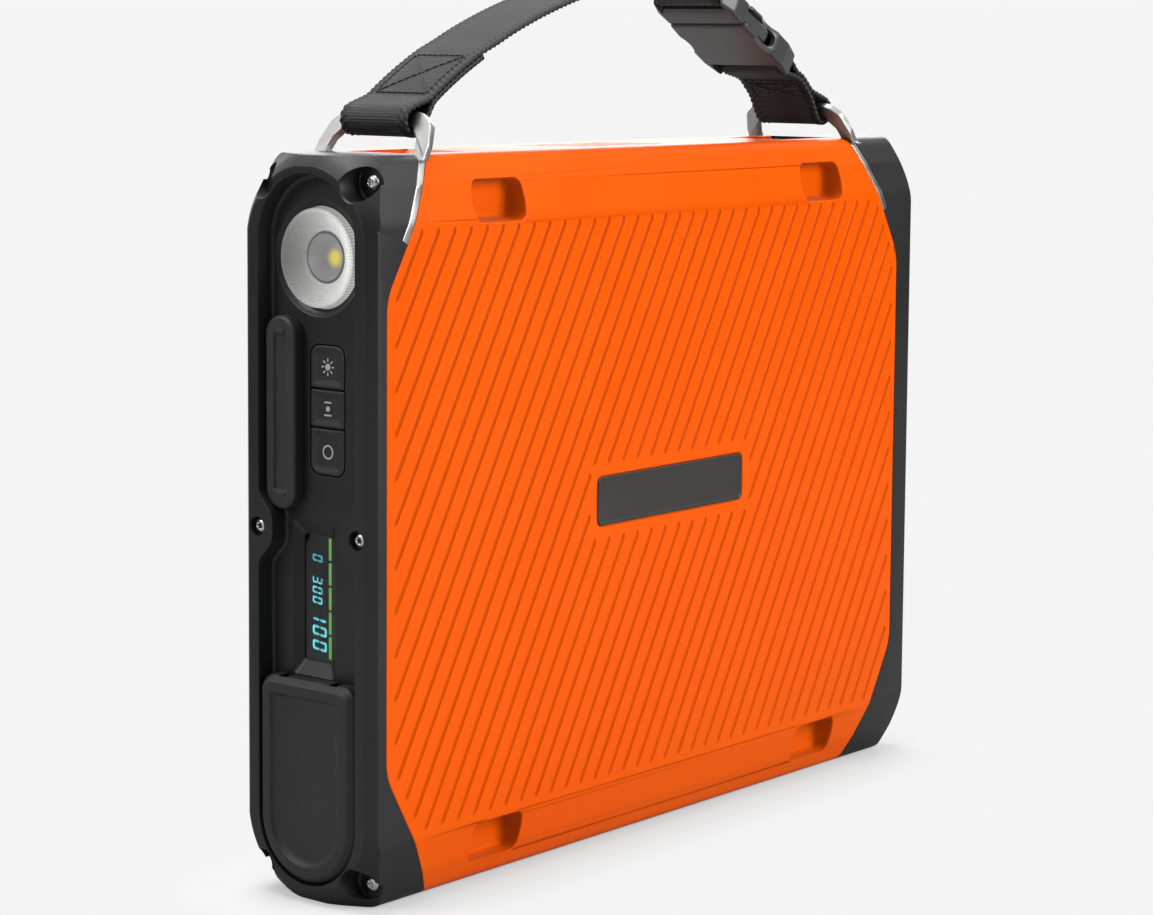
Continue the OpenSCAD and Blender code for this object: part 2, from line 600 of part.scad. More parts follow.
module battery_pads() {
  color("#55585a") for (k = [0:tiers - 1], m = [0, 1]) mirror([0, m, 0])
    box(batt_x0 + 12, batt_y, cell_z0 + k * tier + 1, batt_x1 - 12, hy - wall, cell_z0 + k * tier + 4);
}
batt_top = cell_z0 + tiers * tier - sheet_t;
module battery_board() {
  color("#1f6b3a") union() {
    box(batt_x0 - 3.6, -18, cell_z0 + 1, batt_x0 - 2, 18, batt_top - 2);
    for (i = [0:3]) box(batt_x0 - 5.6, -12 + i * 7, mid_z - 20, batt_x0 - 3.5, -7 + i * 7, mid_z - 12);
  }
}

// ---- inverter board and what it carries ----
bx0 = vent_x - 100;
bx1 = vent_x;
module inverter_board() {
  color("#1f6b3a") difference() {
    box(bx0, board_y, 28, bx1, board_y + 1.6, H - 35);
    for (p = board_pts) rod_y(p.x, p.y, 1.4, board_y - 1, board_y + 3);
  }
}
module board_screws() {
  color("#b7b7b2") for (p = board_pts) union() {
    rod_y(p.x, p.y, 2.5, board_y - 1.8, board_y);
    rod_y(p.x, p.y, 1.2, board_y - 0.1, board_y + 6);
  }
}
sink_x = bx0 + 8;
sink_z0 = mid_z - 60;
sink_z1 = mid_z + 60;
sink_y = board_y - 7;
module heat_sink() {
  color("#a9acae") union() {
    box(sink_x, sink_y - 3, sink_z0, sink_x + 33, sink_y, sink_z1);
    for (i = [0:6]) box(sink_x + i * 5.25, sink_y - 25, sink_z0, sink_x + i * 5.25 + 1.5, sink_y - 2.9, sink_z1);
    for (z = [sink_z0, sink_z1 - 4]) box(sink_x, sink_y - 0.1, z, sink_x + 33, board_y, z + 4);
  }
}
module power_transistors() {
  color("#1c1c1c") for (k = [0:5]) translate([sink_x + 11, 0, sink_z0 + 12 + k * 17]) union() {
    box(0, sink_y, 0, 10, sink_y + 4.4, 9);
    for (j = [0:2]) box(1.5 + j * 2.6, sink_y + 4.3, 3, 2.7 + j * 2.6, board_y, 4.2);
  }
}
tr_x = bx0 + 49;
tr_z = 44;
module transformer_core() {
  color("#3b3d40") difference() {
    box(tr_x, board_y - 32, tr_z, tr_x + 44, board_y - 4, tr_z + 36);
    for (x = [6, 26]) box(tr_x + x, board_y - 33, tr_z + 6, tr_x + x + 12, board_y - 3, tr_z + 30);
  }
}
module transformer_winding() {
  color("#c9a14a") union() {
    difference() {
      box(tr_x + 6.4, board_y - 34, tr_z + 6.3, tr_x + 37.6, board_y - 2, tr_z + 29.7);
      box(tr_x + 17.8, board_y - 40, tr_z, tr_x + 26.2, board_y + 1, tr_z + 40);
    }
    box(tr_x + 8, board_y - 2.1, tr_z + 8, tr_x + 16, board_y, tr_z + 28);
    box(tr_x + 28, board_y - 2.1, tr_z + 8, tr_x + 36, board_y, tr_z + 28);
  }
}
module choke() {
  color("#b46a2a") translate([tr_x + 20, board_y - 14, mid_z - 16]) rotate([-90, 0, 0]) difference() {
    cylinder(h = 14, r = 13);
    translate([0, 0, -1]) cylinder(h = 16, r = 5.5);
  }
}
module capacitors() {
  color("#27364a") for (p = [[tr_x + 8, mid_z + 22], [tr_x + 33, mid_z + 22], [tr_x + 33, mid_z + 48]])
    rod_y(p.x, p.y, 11, board_y - 34, board_y);
}

// ---- fan under the vents ----
module fan_frame() {
  r = fan_w / 2 - 1.2;
  color("#1d1d1d") translate([vent_x, 0, fan_top - fan_h]) union() {
    difference() {
      translate([-fan_w / 2, -fan_w / 2, 0]) cube([fan_w, fan_w, fan_h]);
      translate([0, 0, -1]) cylinder(h = fan_h + 2, r = r);
      for (mx = [-1, 1], my = [-1, 1]) translate([mx * (fan_w / 2 - 4), my * (fan_w / 2 - 4), -1]) cylinder(h = fan_h + 2, r = 1.5);
    }
    cylinder(h = 1.5, r = 8);
    for (a = [30, 150, 270]) rotate([0, 0, a]) translate([6, -1.2, 0]) cube([r - 5, 2.4, 1.5]);
    cylinder(h = fan_h - 2, r = 1.2);
  }
}
module fan_rotor() {
  r = fan_w / 2 - 2;
  color("#2a2a2a") translate([vent_x, 0, fan_top - fan_h]) difference() {
    union() {
      translate([0, 0, 1.9]) cylinder(h = fan_h - 2.6, r = 8.5);
      for (a = [0:51.428:359]) rotate([0, 0, a]) translate([r / 2 + 3.5, 0, 1.9 + (fan_h - 3) / 2])
        rotate([38, 0, 0]) cube([r - 7.3, 0.9, fan_h - 4], center = true);
    }
    translate([0, 0, 1.5]) cylinder(h = fan_h - 3.3, r = 1.26);
  }
}
module fan_screws() {
  color("#b7b7b2") for (mx = [-1, 1], my = [-1, 1]) translate([vent_x + mx * (fan_w / 2 - 4), my * (fan_w / 2 - 4), 0]) union() {
    translate([0, 0, fan_top - fan_h - 1.6]) cylinder(h = 1.6, r = 2.4);
    translate([0, 0, fan_top - fan_h - 0.1]) cylinder(h = fan_h + 8, r = 1.2);
  }
}

// ---- leads ----
module lead(x0, x1, y, z, r) {
  union() {
    prism_x(disc(y, z, r, 12), min(x0, x1), max(x0, x1));
    prism_y(disc(x1, z, r * 1.15, 12), y - r * 1.4, board_y);
  }
}
module battery_leads() {
  color("#9b1c1c") for (z = [mid_z - 6, mid_z + 2]) lead(batt_x0 - 3.6, bx1 - 7, board_y - 5, z, 1.8);
}
module outlet_leads() {
  color("#20262b") for (z = [out_face[1] + 18, out_face[1] + 25, out_face[1] + 32]) lead(back_x + 28, bx0 + 10, out_face[2] - 4, z, 1.4);
}

// ---- webbing: a ribbon follows round points chosen by hand, seen from the front ----
bar_l = [-ring_x(sl, bar_z), bar_z];
bar_r = [ring_x(sr, bar_z), bar_z];
buckle_at = [46, H + 56];
buckle_dir = -31.3;
function along(s) = [buckle_at.x + s * cos(buckle_dir), buckle_at.y + s * sin(buckle_dir)];
long_path = [bar_l, [-112, H + 19], [-101, H + 26], [-90, H + 32], [-76, H + 39], [-61, H + 45], [-46, H + 50],
  [-30, H + 54.5], [-14, H + 58], [4, H + 60.5], [20, H + 61.5], [34, H + 60], along(2)];
short_path = [along(52), along(58.5), [101, H + 23.5], [106.5, H + 18.5], bar_r];
function tangent(p, i) = unit(p[min(i + 1, len(p) - 1)] - p[max(i - 1, 0)]);
function side(p, t) = [for (i = [0:len(p) - 1]) let (d = tangent(p, i)) p[i] + [-d.y, d.x] * t];
function turned(v) = [for (i = [len(v) - 1:-1:0]) v[i]];
function ribbon(p, t) = concat(side(p, t / 2), turned(side(p, -t / 2)));
function part_of(p, a, b) = [for (i = [a:b]) p[i]];
loop_ring = 3.85;
loop_bar = 2.45;
module web(pts, extra = 0) { prism_y(pts, -strap_w / 2 - extra, strap_w / 2 + extra); }
module strap_long() {
  n = len(long_path) - 1;
  color("#2e2f30") difference() {
    union() {
      web(ribbon(long_path, strap_t));
      web(ribbon(part_of(long_path, 0, 3), 2 * strap_t));
      web(ribbon(part_of(long_path, n - 2, n), 2 * strap_t));
      web(disc(bar_l.x, bar_l.y, loop_ring + strap_t));
      web(disc(along(2).x, along(2).y, loop_bar + strap_t));
    }
    web(disc(bar_l.x, bar_l.y, loop_ring), 1);
    web(disc(along(2).x, along(2).y, loop_bar), 1);
  }
}
module strap_short() {
  color("#2e2f30") difference() {
    union() {
      web(ribbon(short_path, 2 * strap_t));
      web(disc(bar_r.x, bar_r.y, loop_ring + strap_t));
      web(disc(along(52).x, along(52).y, loop_bar + strap_t));
    }
    web(disc(bar_r.x, bar_r.y, loop_ring), 1);
    web(disc(along(52).x, along(52).y, loop_bar), 1);
  }
}

// ---- side-release buckle, along its own axis ----
module in_buckle() { translate([buckle_at.x, 0, buckle_at.y]) rotate([0, -buckle_dir, 0]) children(); }
bw = buckle_w / 2;
bt = buckle_t / 2;
slot_w = strap_w / 2 + 0.5;
wrap = loop_bar + strap_t + 0.3;
module buckle_bar_cuts(s, way) {
  // room for the loop on both sides of its bar
  for (m = [-1, 1]) mirror([0, 0, m < 0 ? 1 : 0])
    box(s - 2 - (way < 0 ? 3 : 0), -slot_w, 1.6, s + 2 + (way > 0 ? 3 : 0), slot_w, bt + 1);
  box(way < 0 ? s + 1.6 : s - wrap, -slot_w, -bt - 1, way < 0 ? s + wrap : s - 1.6, slot_w, bt + 1);
}
module buckle_female() {
  color("#303030") in_buckle() difference() {
    prism_z(rounded([[16.3, -bw + 1], [30, -bw], [44, -bw], [53.6, -bw + 2.5], [53.6, bw - 2.5], [44, bw], [30, bw], [16.3, bw - 1]],
                    [1.5, 8, 6, 3, 3, 6, 8, 1.5]), -bt, bt);
    box(15, -bw + 2.7, -bt + 1.8, 43, bw - 2.7, bt - 1.8);
    for (m = [0, 1]) mirror([0, m, 0]) box(24, bw - 3.5, -bt + 1.8, 36, bw + 1, bt - 1.8);
    buckle_bar_cuts(52, 1);
  }
}
module buckle_male() {
  color("#303030") in_buckle() difference() {
    union() {
      prism_z(rounded([[0.4, -bw + 3], [8, -bw + 0.6], [16, -bw + 1.2], [16, bw - 1.2], [8, bw - 0.6], [0.4, bw - 3]],
                      [2.5, 5, 1, 1, 5, 2.5]), -bt + 0.4, bt - 0.4);
      for (m = [0, 1]) mirror([0, m, 0])
        prism_z([[15, 9.5], [15, bw - 4.5], [24, bw - 3.2], [33, bw - 3], [36, bw - 6.5], [34, bw - 8], [22, 11.5]], -bt + 2.3, bt - 2.3);
      box(15, -3.5, -bt + 2.6, 31, 3.5, bt - 2.6);
    }
    buckle_bar_cuts(2, -1);
  }
}

body_sleeve();
left_end_cap();
right_end_cap();
left_cap_screws();
right_cap_screws();
left_ring();
right_ring();
name_plate();
lamp_lens();
lamp_collimator();
lamp_reflector();
lamp_board();
light_button();
port_button();
outlet_button();
button_board();
display_window();
display_module();
port_cover();
port_cover_pin();
port_block();
port_shells();
outlet_cover();
outlet_cover_pin();
outlet_socket();
battery_cells();
cell_holders();
busbar_sheets();
battery_cradle();
battery_pads();
battery_board();
inverter_board();
board_screws();
heat_sink();
power_transistors();
transformer_core();
transformer_winding();
choke();
capacitors();
fan_frame();
fan_rotor();
fan_screws();
battery_leads();
outlet_leads();
strap_long();
strap_short();
buckle_female();
buckle_male();
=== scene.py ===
"""Slim upright battery pack: a ribbed orange sleeve between two black end caps, with a lamp, buttons, a display
and covered sockets in one end, two steel rings, and a buckled webbing strap to carry it by.
Sizes are in millimetres and become metres when a mesh is made. +X runs to the plain end, -Y out of the front."""
import math

import bmesh
import bpy
from mathutils import Matrix, Vector


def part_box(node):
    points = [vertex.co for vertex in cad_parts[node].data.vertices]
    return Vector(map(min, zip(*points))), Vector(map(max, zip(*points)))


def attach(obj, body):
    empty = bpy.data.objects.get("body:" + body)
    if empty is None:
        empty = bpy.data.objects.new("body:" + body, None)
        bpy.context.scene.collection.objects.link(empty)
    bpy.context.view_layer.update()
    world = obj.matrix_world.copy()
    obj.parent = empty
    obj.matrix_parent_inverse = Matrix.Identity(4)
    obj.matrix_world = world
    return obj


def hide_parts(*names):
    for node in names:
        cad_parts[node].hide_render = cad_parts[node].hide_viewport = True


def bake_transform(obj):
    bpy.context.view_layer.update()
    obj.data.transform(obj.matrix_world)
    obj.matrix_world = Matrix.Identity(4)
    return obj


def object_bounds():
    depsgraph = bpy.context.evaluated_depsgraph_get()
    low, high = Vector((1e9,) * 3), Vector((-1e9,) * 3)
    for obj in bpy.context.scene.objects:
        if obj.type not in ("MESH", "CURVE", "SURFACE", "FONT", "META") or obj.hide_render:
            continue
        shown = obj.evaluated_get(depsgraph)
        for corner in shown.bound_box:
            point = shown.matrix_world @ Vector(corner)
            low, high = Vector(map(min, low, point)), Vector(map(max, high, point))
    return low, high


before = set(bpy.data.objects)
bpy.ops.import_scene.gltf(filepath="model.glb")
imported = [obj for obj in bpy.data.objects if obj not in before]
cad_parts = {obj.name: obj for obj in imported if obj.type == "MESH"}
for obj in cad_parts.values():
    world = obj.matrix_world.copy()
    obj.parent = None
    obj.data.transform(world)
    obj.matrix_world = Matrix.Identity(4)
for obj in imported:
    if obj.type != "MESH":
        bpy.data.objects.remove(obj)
cad_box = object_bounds()
MM = 0.001


# ---- Objects, nodes and materials ----
def placed(name, data):
    """A new object in the scene that holds the data."""
    made = bpy.data.objects.new(name, data)
    bpy.context.scene.collection.objects.link(made)
    return made


def colour(code):
    """An sRGB hex colour as linear red, green, blue and alpha."""
    parts = [int(code[i:i + 2], 16) / 255 for i in (1, 3, 5)]
    return tuple(c / 12.92 if c <= 0.04045 else ((c + 0.055) / 1.055) ** 2.4 for c in parts) + (1,)


def feed(tree, node, inputs):
    """Gives a node its inputs: a value is set, and a socket, or the first output of another node, is linked."""
    for name, value in inputs.items():
        if isinstance(value, bpy.types.Node):
            value = value.outputs[0]
        if isinstance(value, bpy.types.NodeSocket):
            tree.links.new(value, node.inputs[name])
        else:
            node.inputs[name].default_value = value


def add(tree, kind, inputs=None, **settings):
    """A new node of a kind, with its inputs and settings."""
    made = tree.nodes.new(kind)
    for name, value in settings.items():
        setattr(made, name, value)
    feed(tree, made, inputs or {})
    return made


def calc(tree, operation, *values):
    """A node that does one operation on numbers."""
    return add(tree, "ShaderNodeMath", dict(enumerate(values)), operation=operation)


def vector(tree, operation, *values):
    """A node that does one operation on vectors."""
    return add(tree, "ShaderNodeVectorMath", dict(enumerate(values)), operation=operation)


def ranged(tree, *values, **settings):
    """A node that maps a value from one range to another: the value, from low and high, to low and high."""
    return add(tree, "ShaderNodeMapRange", dict(enumerate(values)), **settings)


def mixed(tree, factor, first, second):
    """A colour between two others, each a hex code or a socket."""
    ends = [colour(end) if isinstance(end, str) else end for end in (first, second)]
    return add(tree, "ShaderNodeMix", {0: factor, 6: ends[0], 7: ends[1]}, data_type="RGBA").outputs[2]


def here(tree):
    """The place in the piece's own space."""
    return add(tree, "ShaderNodeTexCoord").outputs["Object"]


def noise(tree, place, scale, detail=2.0):
    return add(tree, "ShaderNodeTexNoise", {"Vector": place, "Scale": scale, "Detail": detail})


def bumped(tree, height, strength, distance):
    return add(tree, "ShaderNodeBump", {"Height": height, "Strength": strength, "Distance": distance})


def bare_tree(owner):
    """The node tree of a material or world, with nothing in it."""
    owner.use_nodes = True
    owner.node_tree.nodes.clear()
    return owner.node_tree


def new_material(name, inputs=None):
    """A material, its node tree and its surface shader, with some of the shader's inputs."""
    made = bpy.data.materials.new(name)
    made.use_nodes = True
    shader = made.node_tree.nodes["Principled BSDF"]
    feed(made.node_tree, shader, inputs or {})
    return made, made.node_tree, shader


def base_colour(material):
    """The socket that gives a material its colour."""
    return material.node_tree.nodes["Principled BSDF"].inputs["Base Color"].links[0].from_socket


def moulded(name, shade, other, roughness, grain_mm, grain_strength, patch_mm, level=0.5):
    """Moulded plastic: its colour and gloss drift a little, and a spark-eroded mould leaves a fine grain."""
    made, tree, shader = new_material(name, {"IOR": 1.5, "Specular IOR Level": level})
    place = here(tree)
    drift = noise(tree, place, 1 / (patch_mm * MM), 3.0)
    grain = noise(tree, place, 1 / (grain_mm * MM))
    feed(tree, shader, {"Base Color": mixed(tree, drift, shade, other),
                        "Roughness": ranged(tree, drift, 0.3, 0.7, roughness - 0.04, roughness + 0.04),
                        "Normal": bumped(tree, grain, grain_strength, grain_mm * MM * 0.3)})
    return made


def metal(name, shade, other, roughness, patch_mm=8.0, scratch=0.04):
    """Plated or bare metal: its gloss drifts, and fine rubbing marks run over it."""
    made, tree, shader = new_material(name, {"Metallic": 1.0})
    place = here(tree)
    drift = noise(tree, place, 1 / (patch_mm * MM), 4.0)
    drawn = add(tree, "ShaderNodeMapping", {"Vector": place, "Scale": (1, 1, 0.12)})
    marks = noise(tree, drawn.outputs[0], 1 / (0.25 * MM))
    feed(tree, shader, {"Base Color": mixed(tree, drift, shade, other),
                        "Roughness": ranged(tree, drift, 0.3, 0.7, roughness - 0.06, roughness + 0.08),
                        "Normal": bumped(tree, marks, scratch * 3, 0.03 * MM)})
    return made


# ---- Camera, light and floor ----
# A long lens a little above the body's top, looking slightly down at the ported end and the front face. The room is
# a plain white sweep, with broad soft lamps in front, above, beyond the ported end and behind, and three dark cards.
def look(yaw, pitch, roll):
    """The turn of a camera, from angles in radians."""
    forward = Vector((math.cos(pitch) * math.sin(yaw), math.cos(pitch) * math.cos(yaw), math.sin(pitch)))
    flat = Vector((math.cos(yaw), -math.sin(yaw), 0))
    above = flat.cross(forward)
    right = math.cos(roll) * flat + math.sin(roll) * above
    up = -math.sin(roll) * flat + math.cos(roll) * above
    return Matrix((right, up, -forward)).transposed().to_4x4()


camera_data = bpy.data.cameras.new("camera")
camera_data.sensor_width = 36
camera_data.lens = 93.56
camera_data.shift_x = -0.0207
camera_data.shift_y = -0.0885
camera_data.clip_start = 0.01
camera_data.clip_end = 50
camera = placed("camera", camera_data)
camera.matrix_world = Matrix.Translation((-0.86223, -0.68746, 0.28992)) @ look(yaw=0.8948, pitch=-0.1068, roll=0.0086)
bpy.context.scene.camera = camera
bpy.context.scene.view_settings.view_transform = "Standard"


def softbox(name, place, aim, size, power):
    """A broad lamp, out of the camera's sight; its size is in metres and its power in watts."""
    data = bpy.data.lights.new(name, "AREA")
    data.shape = "RECTANGLE"
    data.size, data.size_y = size
    data.energy = power
    made = placed(name, data)
    made.location = place
    made.rotation_euler = (Vector(aim) - Vector(place)).to_track_quat("-Z", "Y").to_euler()
    made.visible_camera = False


softbox("front_softbox", (0.7, -2.15, 1.1), (0, 0, 0.12), (1.6, 1.4), 52)
softbox("top_softbox", (-0.1, 0.3, 1.9), (0, 0, 0.1), (1.4, 0.9), 26)
softbox("end_softbox", (-2.0, 1.2, 0.9), (-0.15, 0, 0.12), (0.8, 1.6), 46)
softbox("back_softbox", (1.75, 1.45, 0.85), (0, 0, 0.25), (1.9, 0.7), 17)


def dark_card(name, place, across, height):
    """A dull black board on its lower edge: the faces turned to it lose their white gloss."""
    mesh = bpy.data.meshes.new(name)
    run = Vector(across)
    corners = [Vector(place) - run / 2, Vector(place) + run / 2]
    mesh.from_pydata(corners + [c + Vector((0, 0, height)) for c in corners[::-1]], [], [(0, 1, 2, 3)])
    felt = bpy.data.materials.new(name + "_felt")
    tree = bare_tree(felt)
    dull = add(tree, "ShaderNodeBsdfDiffuse", {"Color": colour("#1c1c1c")})
    add(tree, "ShaderNodeOutputMaterial", {"Surface": dull})
    mesh.materials.append(felt)
    card = placed(name, mesh)
    card.visible_camera = False


dark_card("card_by_front", (1.0, -0.75, -0.01), (0.5, 0.9, 0), 0.75)
dark_card("card_by_end", (-0.95, 0.75, -0.01), (0.7, 0.5, 0), 0.7)
dark_card("card_by_camera", (-1.12, -0.9, 0.12), (1.0, -1.25, 0), 1.1)

ROOM_WHITE = colour("#f4f4f4")
world = bpy.data.worlds.new("white_room")
bpy.context.scene.world = world
tree = bare_tree(world)
ray = add(tree, "ShaderNodeLightPath").outputs
seen = calc(tree, "MAXIMUM", ray["Is Camera Ray"], ray["Is Glossy Ray"])
seen = calc(tree, "MAXIMUM", seen, ray["Is Transmission Ray"])
room = add(tree, "ShaderNodeBackground", {"Color": colour("#ffffff"), "Strength": 0.34})
sweep = add(tree, "ShaderNodeBackground", {"Color": ROOM_WHITE, "Strength": 1.0})
both = add(tree, "ShaderNodeMixShader", {0: seen, 1: room, 2: sweep})
add(tree, "ShaderNodeOutputWorld", {"Surface": both})

# matt paper floor: it keeps the shadow close to the pack, and fades to the colour of the room further out
paper = bpy.data.materials.new("paper_floor")
tree = bare_tree(paper)
ray = add(tree, "ShaderNodeLightPath").outputs
beyond = vector(tree, "SUBTRACT", vector(tree, "ABSOLUTE", here(tree)), (0.145, 0.018, 1))
reach = vector(tree, "LENGTH", vector(tree, "MAXIMUM", beyond, (0, 0, 0)))
fade = ranged(tree, reach.outputs["Value"], 0.0, 0.05, 0.6, 0.0, interpolation_type="SMOOTHSTEP")
matt = add(tree, "ShaderNodeBsdfDiffuse", {"Color": ROOM_WHITE})
plain = add(tree, "ShaderNodeEmission", {"Color": ROOM_WHITE, "Strength": 1.0})
shown = add(tree, "ShaderNodeMixShader", {0: fade, 1: plain, 2: matt})
worn = add(tree, "ShaderNodeBsdfDiffuse", {"Color": colour("#b4b4b4")})
both = add(tree, "ShaderNodeMixShader", {0: ray["Is Camera Ray"], 1: worn, 2: shown})
add(tree, "ShaderNodeOutputMaterial", {"Surface": both})

mesh = bpy.data.meshes.new("floor")
mesh.from_pydata([(-30, -30, 0), (30, -30, 0), (30, 30, 0), (-30, 30, 0)], [], [(0, 1, 2, 3)])
mesh.materials.append(paper)
floor = placed("floor", mesh)
floor.location.z = cad_box[0][2] - 0.0002


# ---- Outlines and solids ----
def unit(v):
    n = math.hypot(*v)
    return (v[0] / n, v[1] / n)


def turns(n):
    """Angles at even steps round a circle."""
    return [k * math.tau / n for k in range(n)]


def rounded(points, radii, steps=6):
    """The outline with each corner turned into an arc; one radius, or one for each corner."""
    out = []
    for i, p in enumerate(points):
        r = radii[i] if isinstance(radii, (list, tuple)) else radii
        a, b = points[i - 1], points[(i + 1) % len(points)]
        u, v = unit((a[0] - p[0], a[1] - p[1])), unit((b[0] - p[0], b[1] - p[1]))
        h = math.acos(max(-1, min(1, u[0] * v[0] + u[1] * v[1]))) / 2
        m = unit((u[0] + v[0], u[1] + v[1]))
        c = (p[0] + m[0] * r / math.sin(h), p[1] + m[1] * r / math.sin(h))
        s = (p[0] + u[0] * r / math.tan(h) - c[0], p[1] + u[1] * r / math.tan(h) - c[1])
        e = (p[0] + v[0] * r / math.tan(h) - c[0], p[1] + v[1] * r / math.tan(h) - c[1])
        for k in range(steps + 1):
            q = unit((s[0] * (1 - k / steps) + e[0] * k / steps, s[1] * (1 - k / steps) + e[1] * k / steps))
            out.append((c[0] + q[0] * r, c[1] + q[1] * r))
    return out


def rectangle(x0, y0, x1, y1):
    return [(x0, y0), (x1, y0), (x1, y1), (x0, y1)]


def tile(x0, y0, x1, y1, radii, steps=6):
    """A rectangle with round corners."""
    return rounded(rectangle(x0, y0, x1, y1), radii, steps)


def spread(box, across, up=None):
    """The corners of a rectangle, moved outwards."""
    up = across if up is None else up
    return (box[0] - across, box[1] - up, box[2] + across, box[3] + up)


def circle(x, y, r, n=40):
    return [(x + r * math.cos(a), y + r * math.sin(a)) for a in turns(n)]


def stadium(x0, y0, x1, y1, steps=16):
    return tile(x0, y0, x1, y1, (x1 - x0) / 2 - 0.002, steps)


def inset(outline, d):
    """An anticlockwise outline moved in by a distance at every point."""
    out = []
    for i, p in enumerate(outline):
        a, b = outline[i - 1], outline[(i + 1) % len(outline)]
        t = unit((b[0] - a[0], b[1] - a[1]))
        out.append((p[0] - t[1] * d, p[1] + t[0] * d))
    return out


def both_sides(half):
    """Points up one side, and down the other side in mirror image."""
    return half + [(-y, z) for y, z in half[::-1]]


class Edit:
    """A mesh open for work, written back at the end."""
    def __init__(self, data):
        self.data, self.work = data, bmesh.new()
        self.work.from_mesh(data)

    def __enter__(self):
        return self.work

    def __exit__(self, *_):
        self.work.to_mesh(self.data)
        self.work.free()


def piece(name, points, faces):
    """A mesh object from points in millimetres, with its faces turned outwards."""
    data = bpy.data.meshes.new(name)
    data.from_pydata([(x * MM, y * MM, z * MM) for x, y, z in points], [], faces)
    with Edit(data) as work:
        bmesh.ops.remove_doubles(work, verts=work.verts, dist=1e-7)
        bmesh.ops.recalc_face_normals(work, faces=work.faces)
        bmesh.ops.triangulate(work, faces=[face for face in work.faces if len(face.verts) > 4])
    return placed(name, data)


PLACES = {"x": lambda p, t: (t, p[0], p[1]), "y": lambda p, t: (p[0], t, p[1]), "z": lambda p, t: (p[0], p[1], t)}


def stacked(axis, layers, name="cutter"):
    """A closed solid through outlines of equal count, each at its place along an axis."""
    n, last = len(layers[0][1]), len(layers) - 1
    points = [PLACES[axis](p, t) for t, outline in layers for p in outline]
    faces = [(k * n + i, k * n + (i + 1) % n, (k + 1) * n + (i + 1) % n, (k + 1) * n + i)
             for k in range(last) for i in range(n)]
    faces += [tuple(range(n))[::-1], tuple(range(last * n, (last + 1) * n))]
    return piece(name, points, faces)


def layered(axis, outline, steps, name="cutter"):
    """A solid whose outline is moved in by a given distance at each place along an axis."""
    return stacked(axis, [(t, inset(outline, d)) for t, d in steps], name)


def bar(axis, outline, start, end, name="cutter"):
    return stacked(axis, [(start, outline), (end, outline)], name)


def turned(name, profile, centre, axis="x", n=48):
    """A lathe shape: points of place along the axis and radius."""
    return stacked(axis, [(t, circle(*centre, max(r, 1e-4), n)) for t, r in profile], name)


def applied(item):
    """The piece with its modifiers made into plain mesh."""
    done = bpy.data.meshes.new_from_object(item.evaluated_get(bpy.context.evaluated_depsgraph_get()))
    item.modifiers.clear()
    done.name = item.name
    item.data = done
    return item


def joined(items, name="cutters"):
    """Several meshes in one object."""
    work = bmesh.new()
    slots = []
    for item in items:
        start = len(work.faces)
        work.from_mesh(item.data)
        work.faces.ensure_lookup_table()
        for material in item.data.materials:
            if material not in slots:
                slots.append(material)
        for face in work.faces[start:]:
            if item.data.materials:
                face.material_index = slots.index(item.data.materials[face.material_index])
    data = bpy.data.meshes.new(name)
    work.to_mesh(data)
    work.free()
    for item in items:
        bpy.data.objects.remove(item)
    for material in slots:
        data.materials.append(material)
    return placed(name, data)


def shaped(item, others, operation="DIFFERENCE"):
    """The piece cut by, joined with or kept inside the others, which are used up."""
    for other in others:
        step = item.modifiers.new("shape", "BOOLEAN")
        step.operation = operation
        step.solver = "MANIFOLD"
        step.object = other
    applied(item)
    for other in others:
        bpy.data.objects.remove(other)
    return item


def mirrored(item):
    """The piece turned over to the other end of the pack."""
    item.data.transform(Matrix.Scale(-1, 4, (1, 0, 0)))
    item.data.flip_normals()
    return item


def islands(work):
    """The faces of a mesh, in groups that hang together."""
    left = set(work.faces)
    while left:
        group, edge = [], [left.pop()]
        while edge:
            face = edge.pop()
            group.append(face)
            for vert in face.verts:
                for other in vert.link_faces:
                    if other in left:
                        left.remove(other)
                        edge.append(other)
        yield group


def is_stray(group, most=40, area=1.0, volume=0.001):
    """Whether a group of triangles is only a scrap of a cut: small, and with next to nothing inside it."""
    if len(group) > most or sum(face.calc_area() for face in group) > area * MM ** 2:
        return False
    start = group[0].verts[0].co
    corners = [[vert.co for vert in face.verts] for face in group]
    inside = sum((a - start).dot((b - start).cross(c - start)) / 6 for a, b, c in corners)
    return abs(inside) < volume * MM ** 3


def trimmed(item, tidy=0.004):
    """The mesh without the slivers and scraps that a cut leaves, closed and in triangles."""
    with Edit(item.data) as work:
        bmesh.ops.dissolve_degenerate(work, edges=work.edges, dist=tidy * MM)
        bmesh.ops.triangulate(work, faces=work.faces)
        scraps = [face for group in islands(work) if is_stray(group) for face in group]
        bmesh.ops.delete(work, geom=scraps, context="FACES")
        bmesh.ops.holes_fill(work, edges=[edge for edge in work.edges if edge.is_boundary], sides=0)
        bmesh.ops.triangulate(work, faces=work.faces)
    return item


def softened(item, width, segments=2, angle=38):
    """Edges rounded as a mould leaves them."""
    trimmed(item)
    step = item.modifiers.new("edge", "BEVEL")
    step.width = width * MM
    step.segments = segments
    step.limit_method = "ANGLE"
    step.angle_limit = math.radians(angle)
    step.use_clamp_overlap = False
    step.miter_outer = "MITER_ARC"
    return applied(item)


def shaded(item, angle=40):
    """Smooth shading that leaves flat faces flat and hard edges sharp."""
    trimmed(item)
    item.data.shade_smooth()
    item.data.set_sharp_from_angle(angle=math.radians(angle))
    step = item.modifiers.new("normals", "WEIGHTED_NORMAL")
    step.keep_sharp = True
    step.weight = 60
    return applied(item)


def painted(item, material):
    """The whole piece in one material."""
    item.data.materials.clear()
    item.data.materials.append(material)
    return item


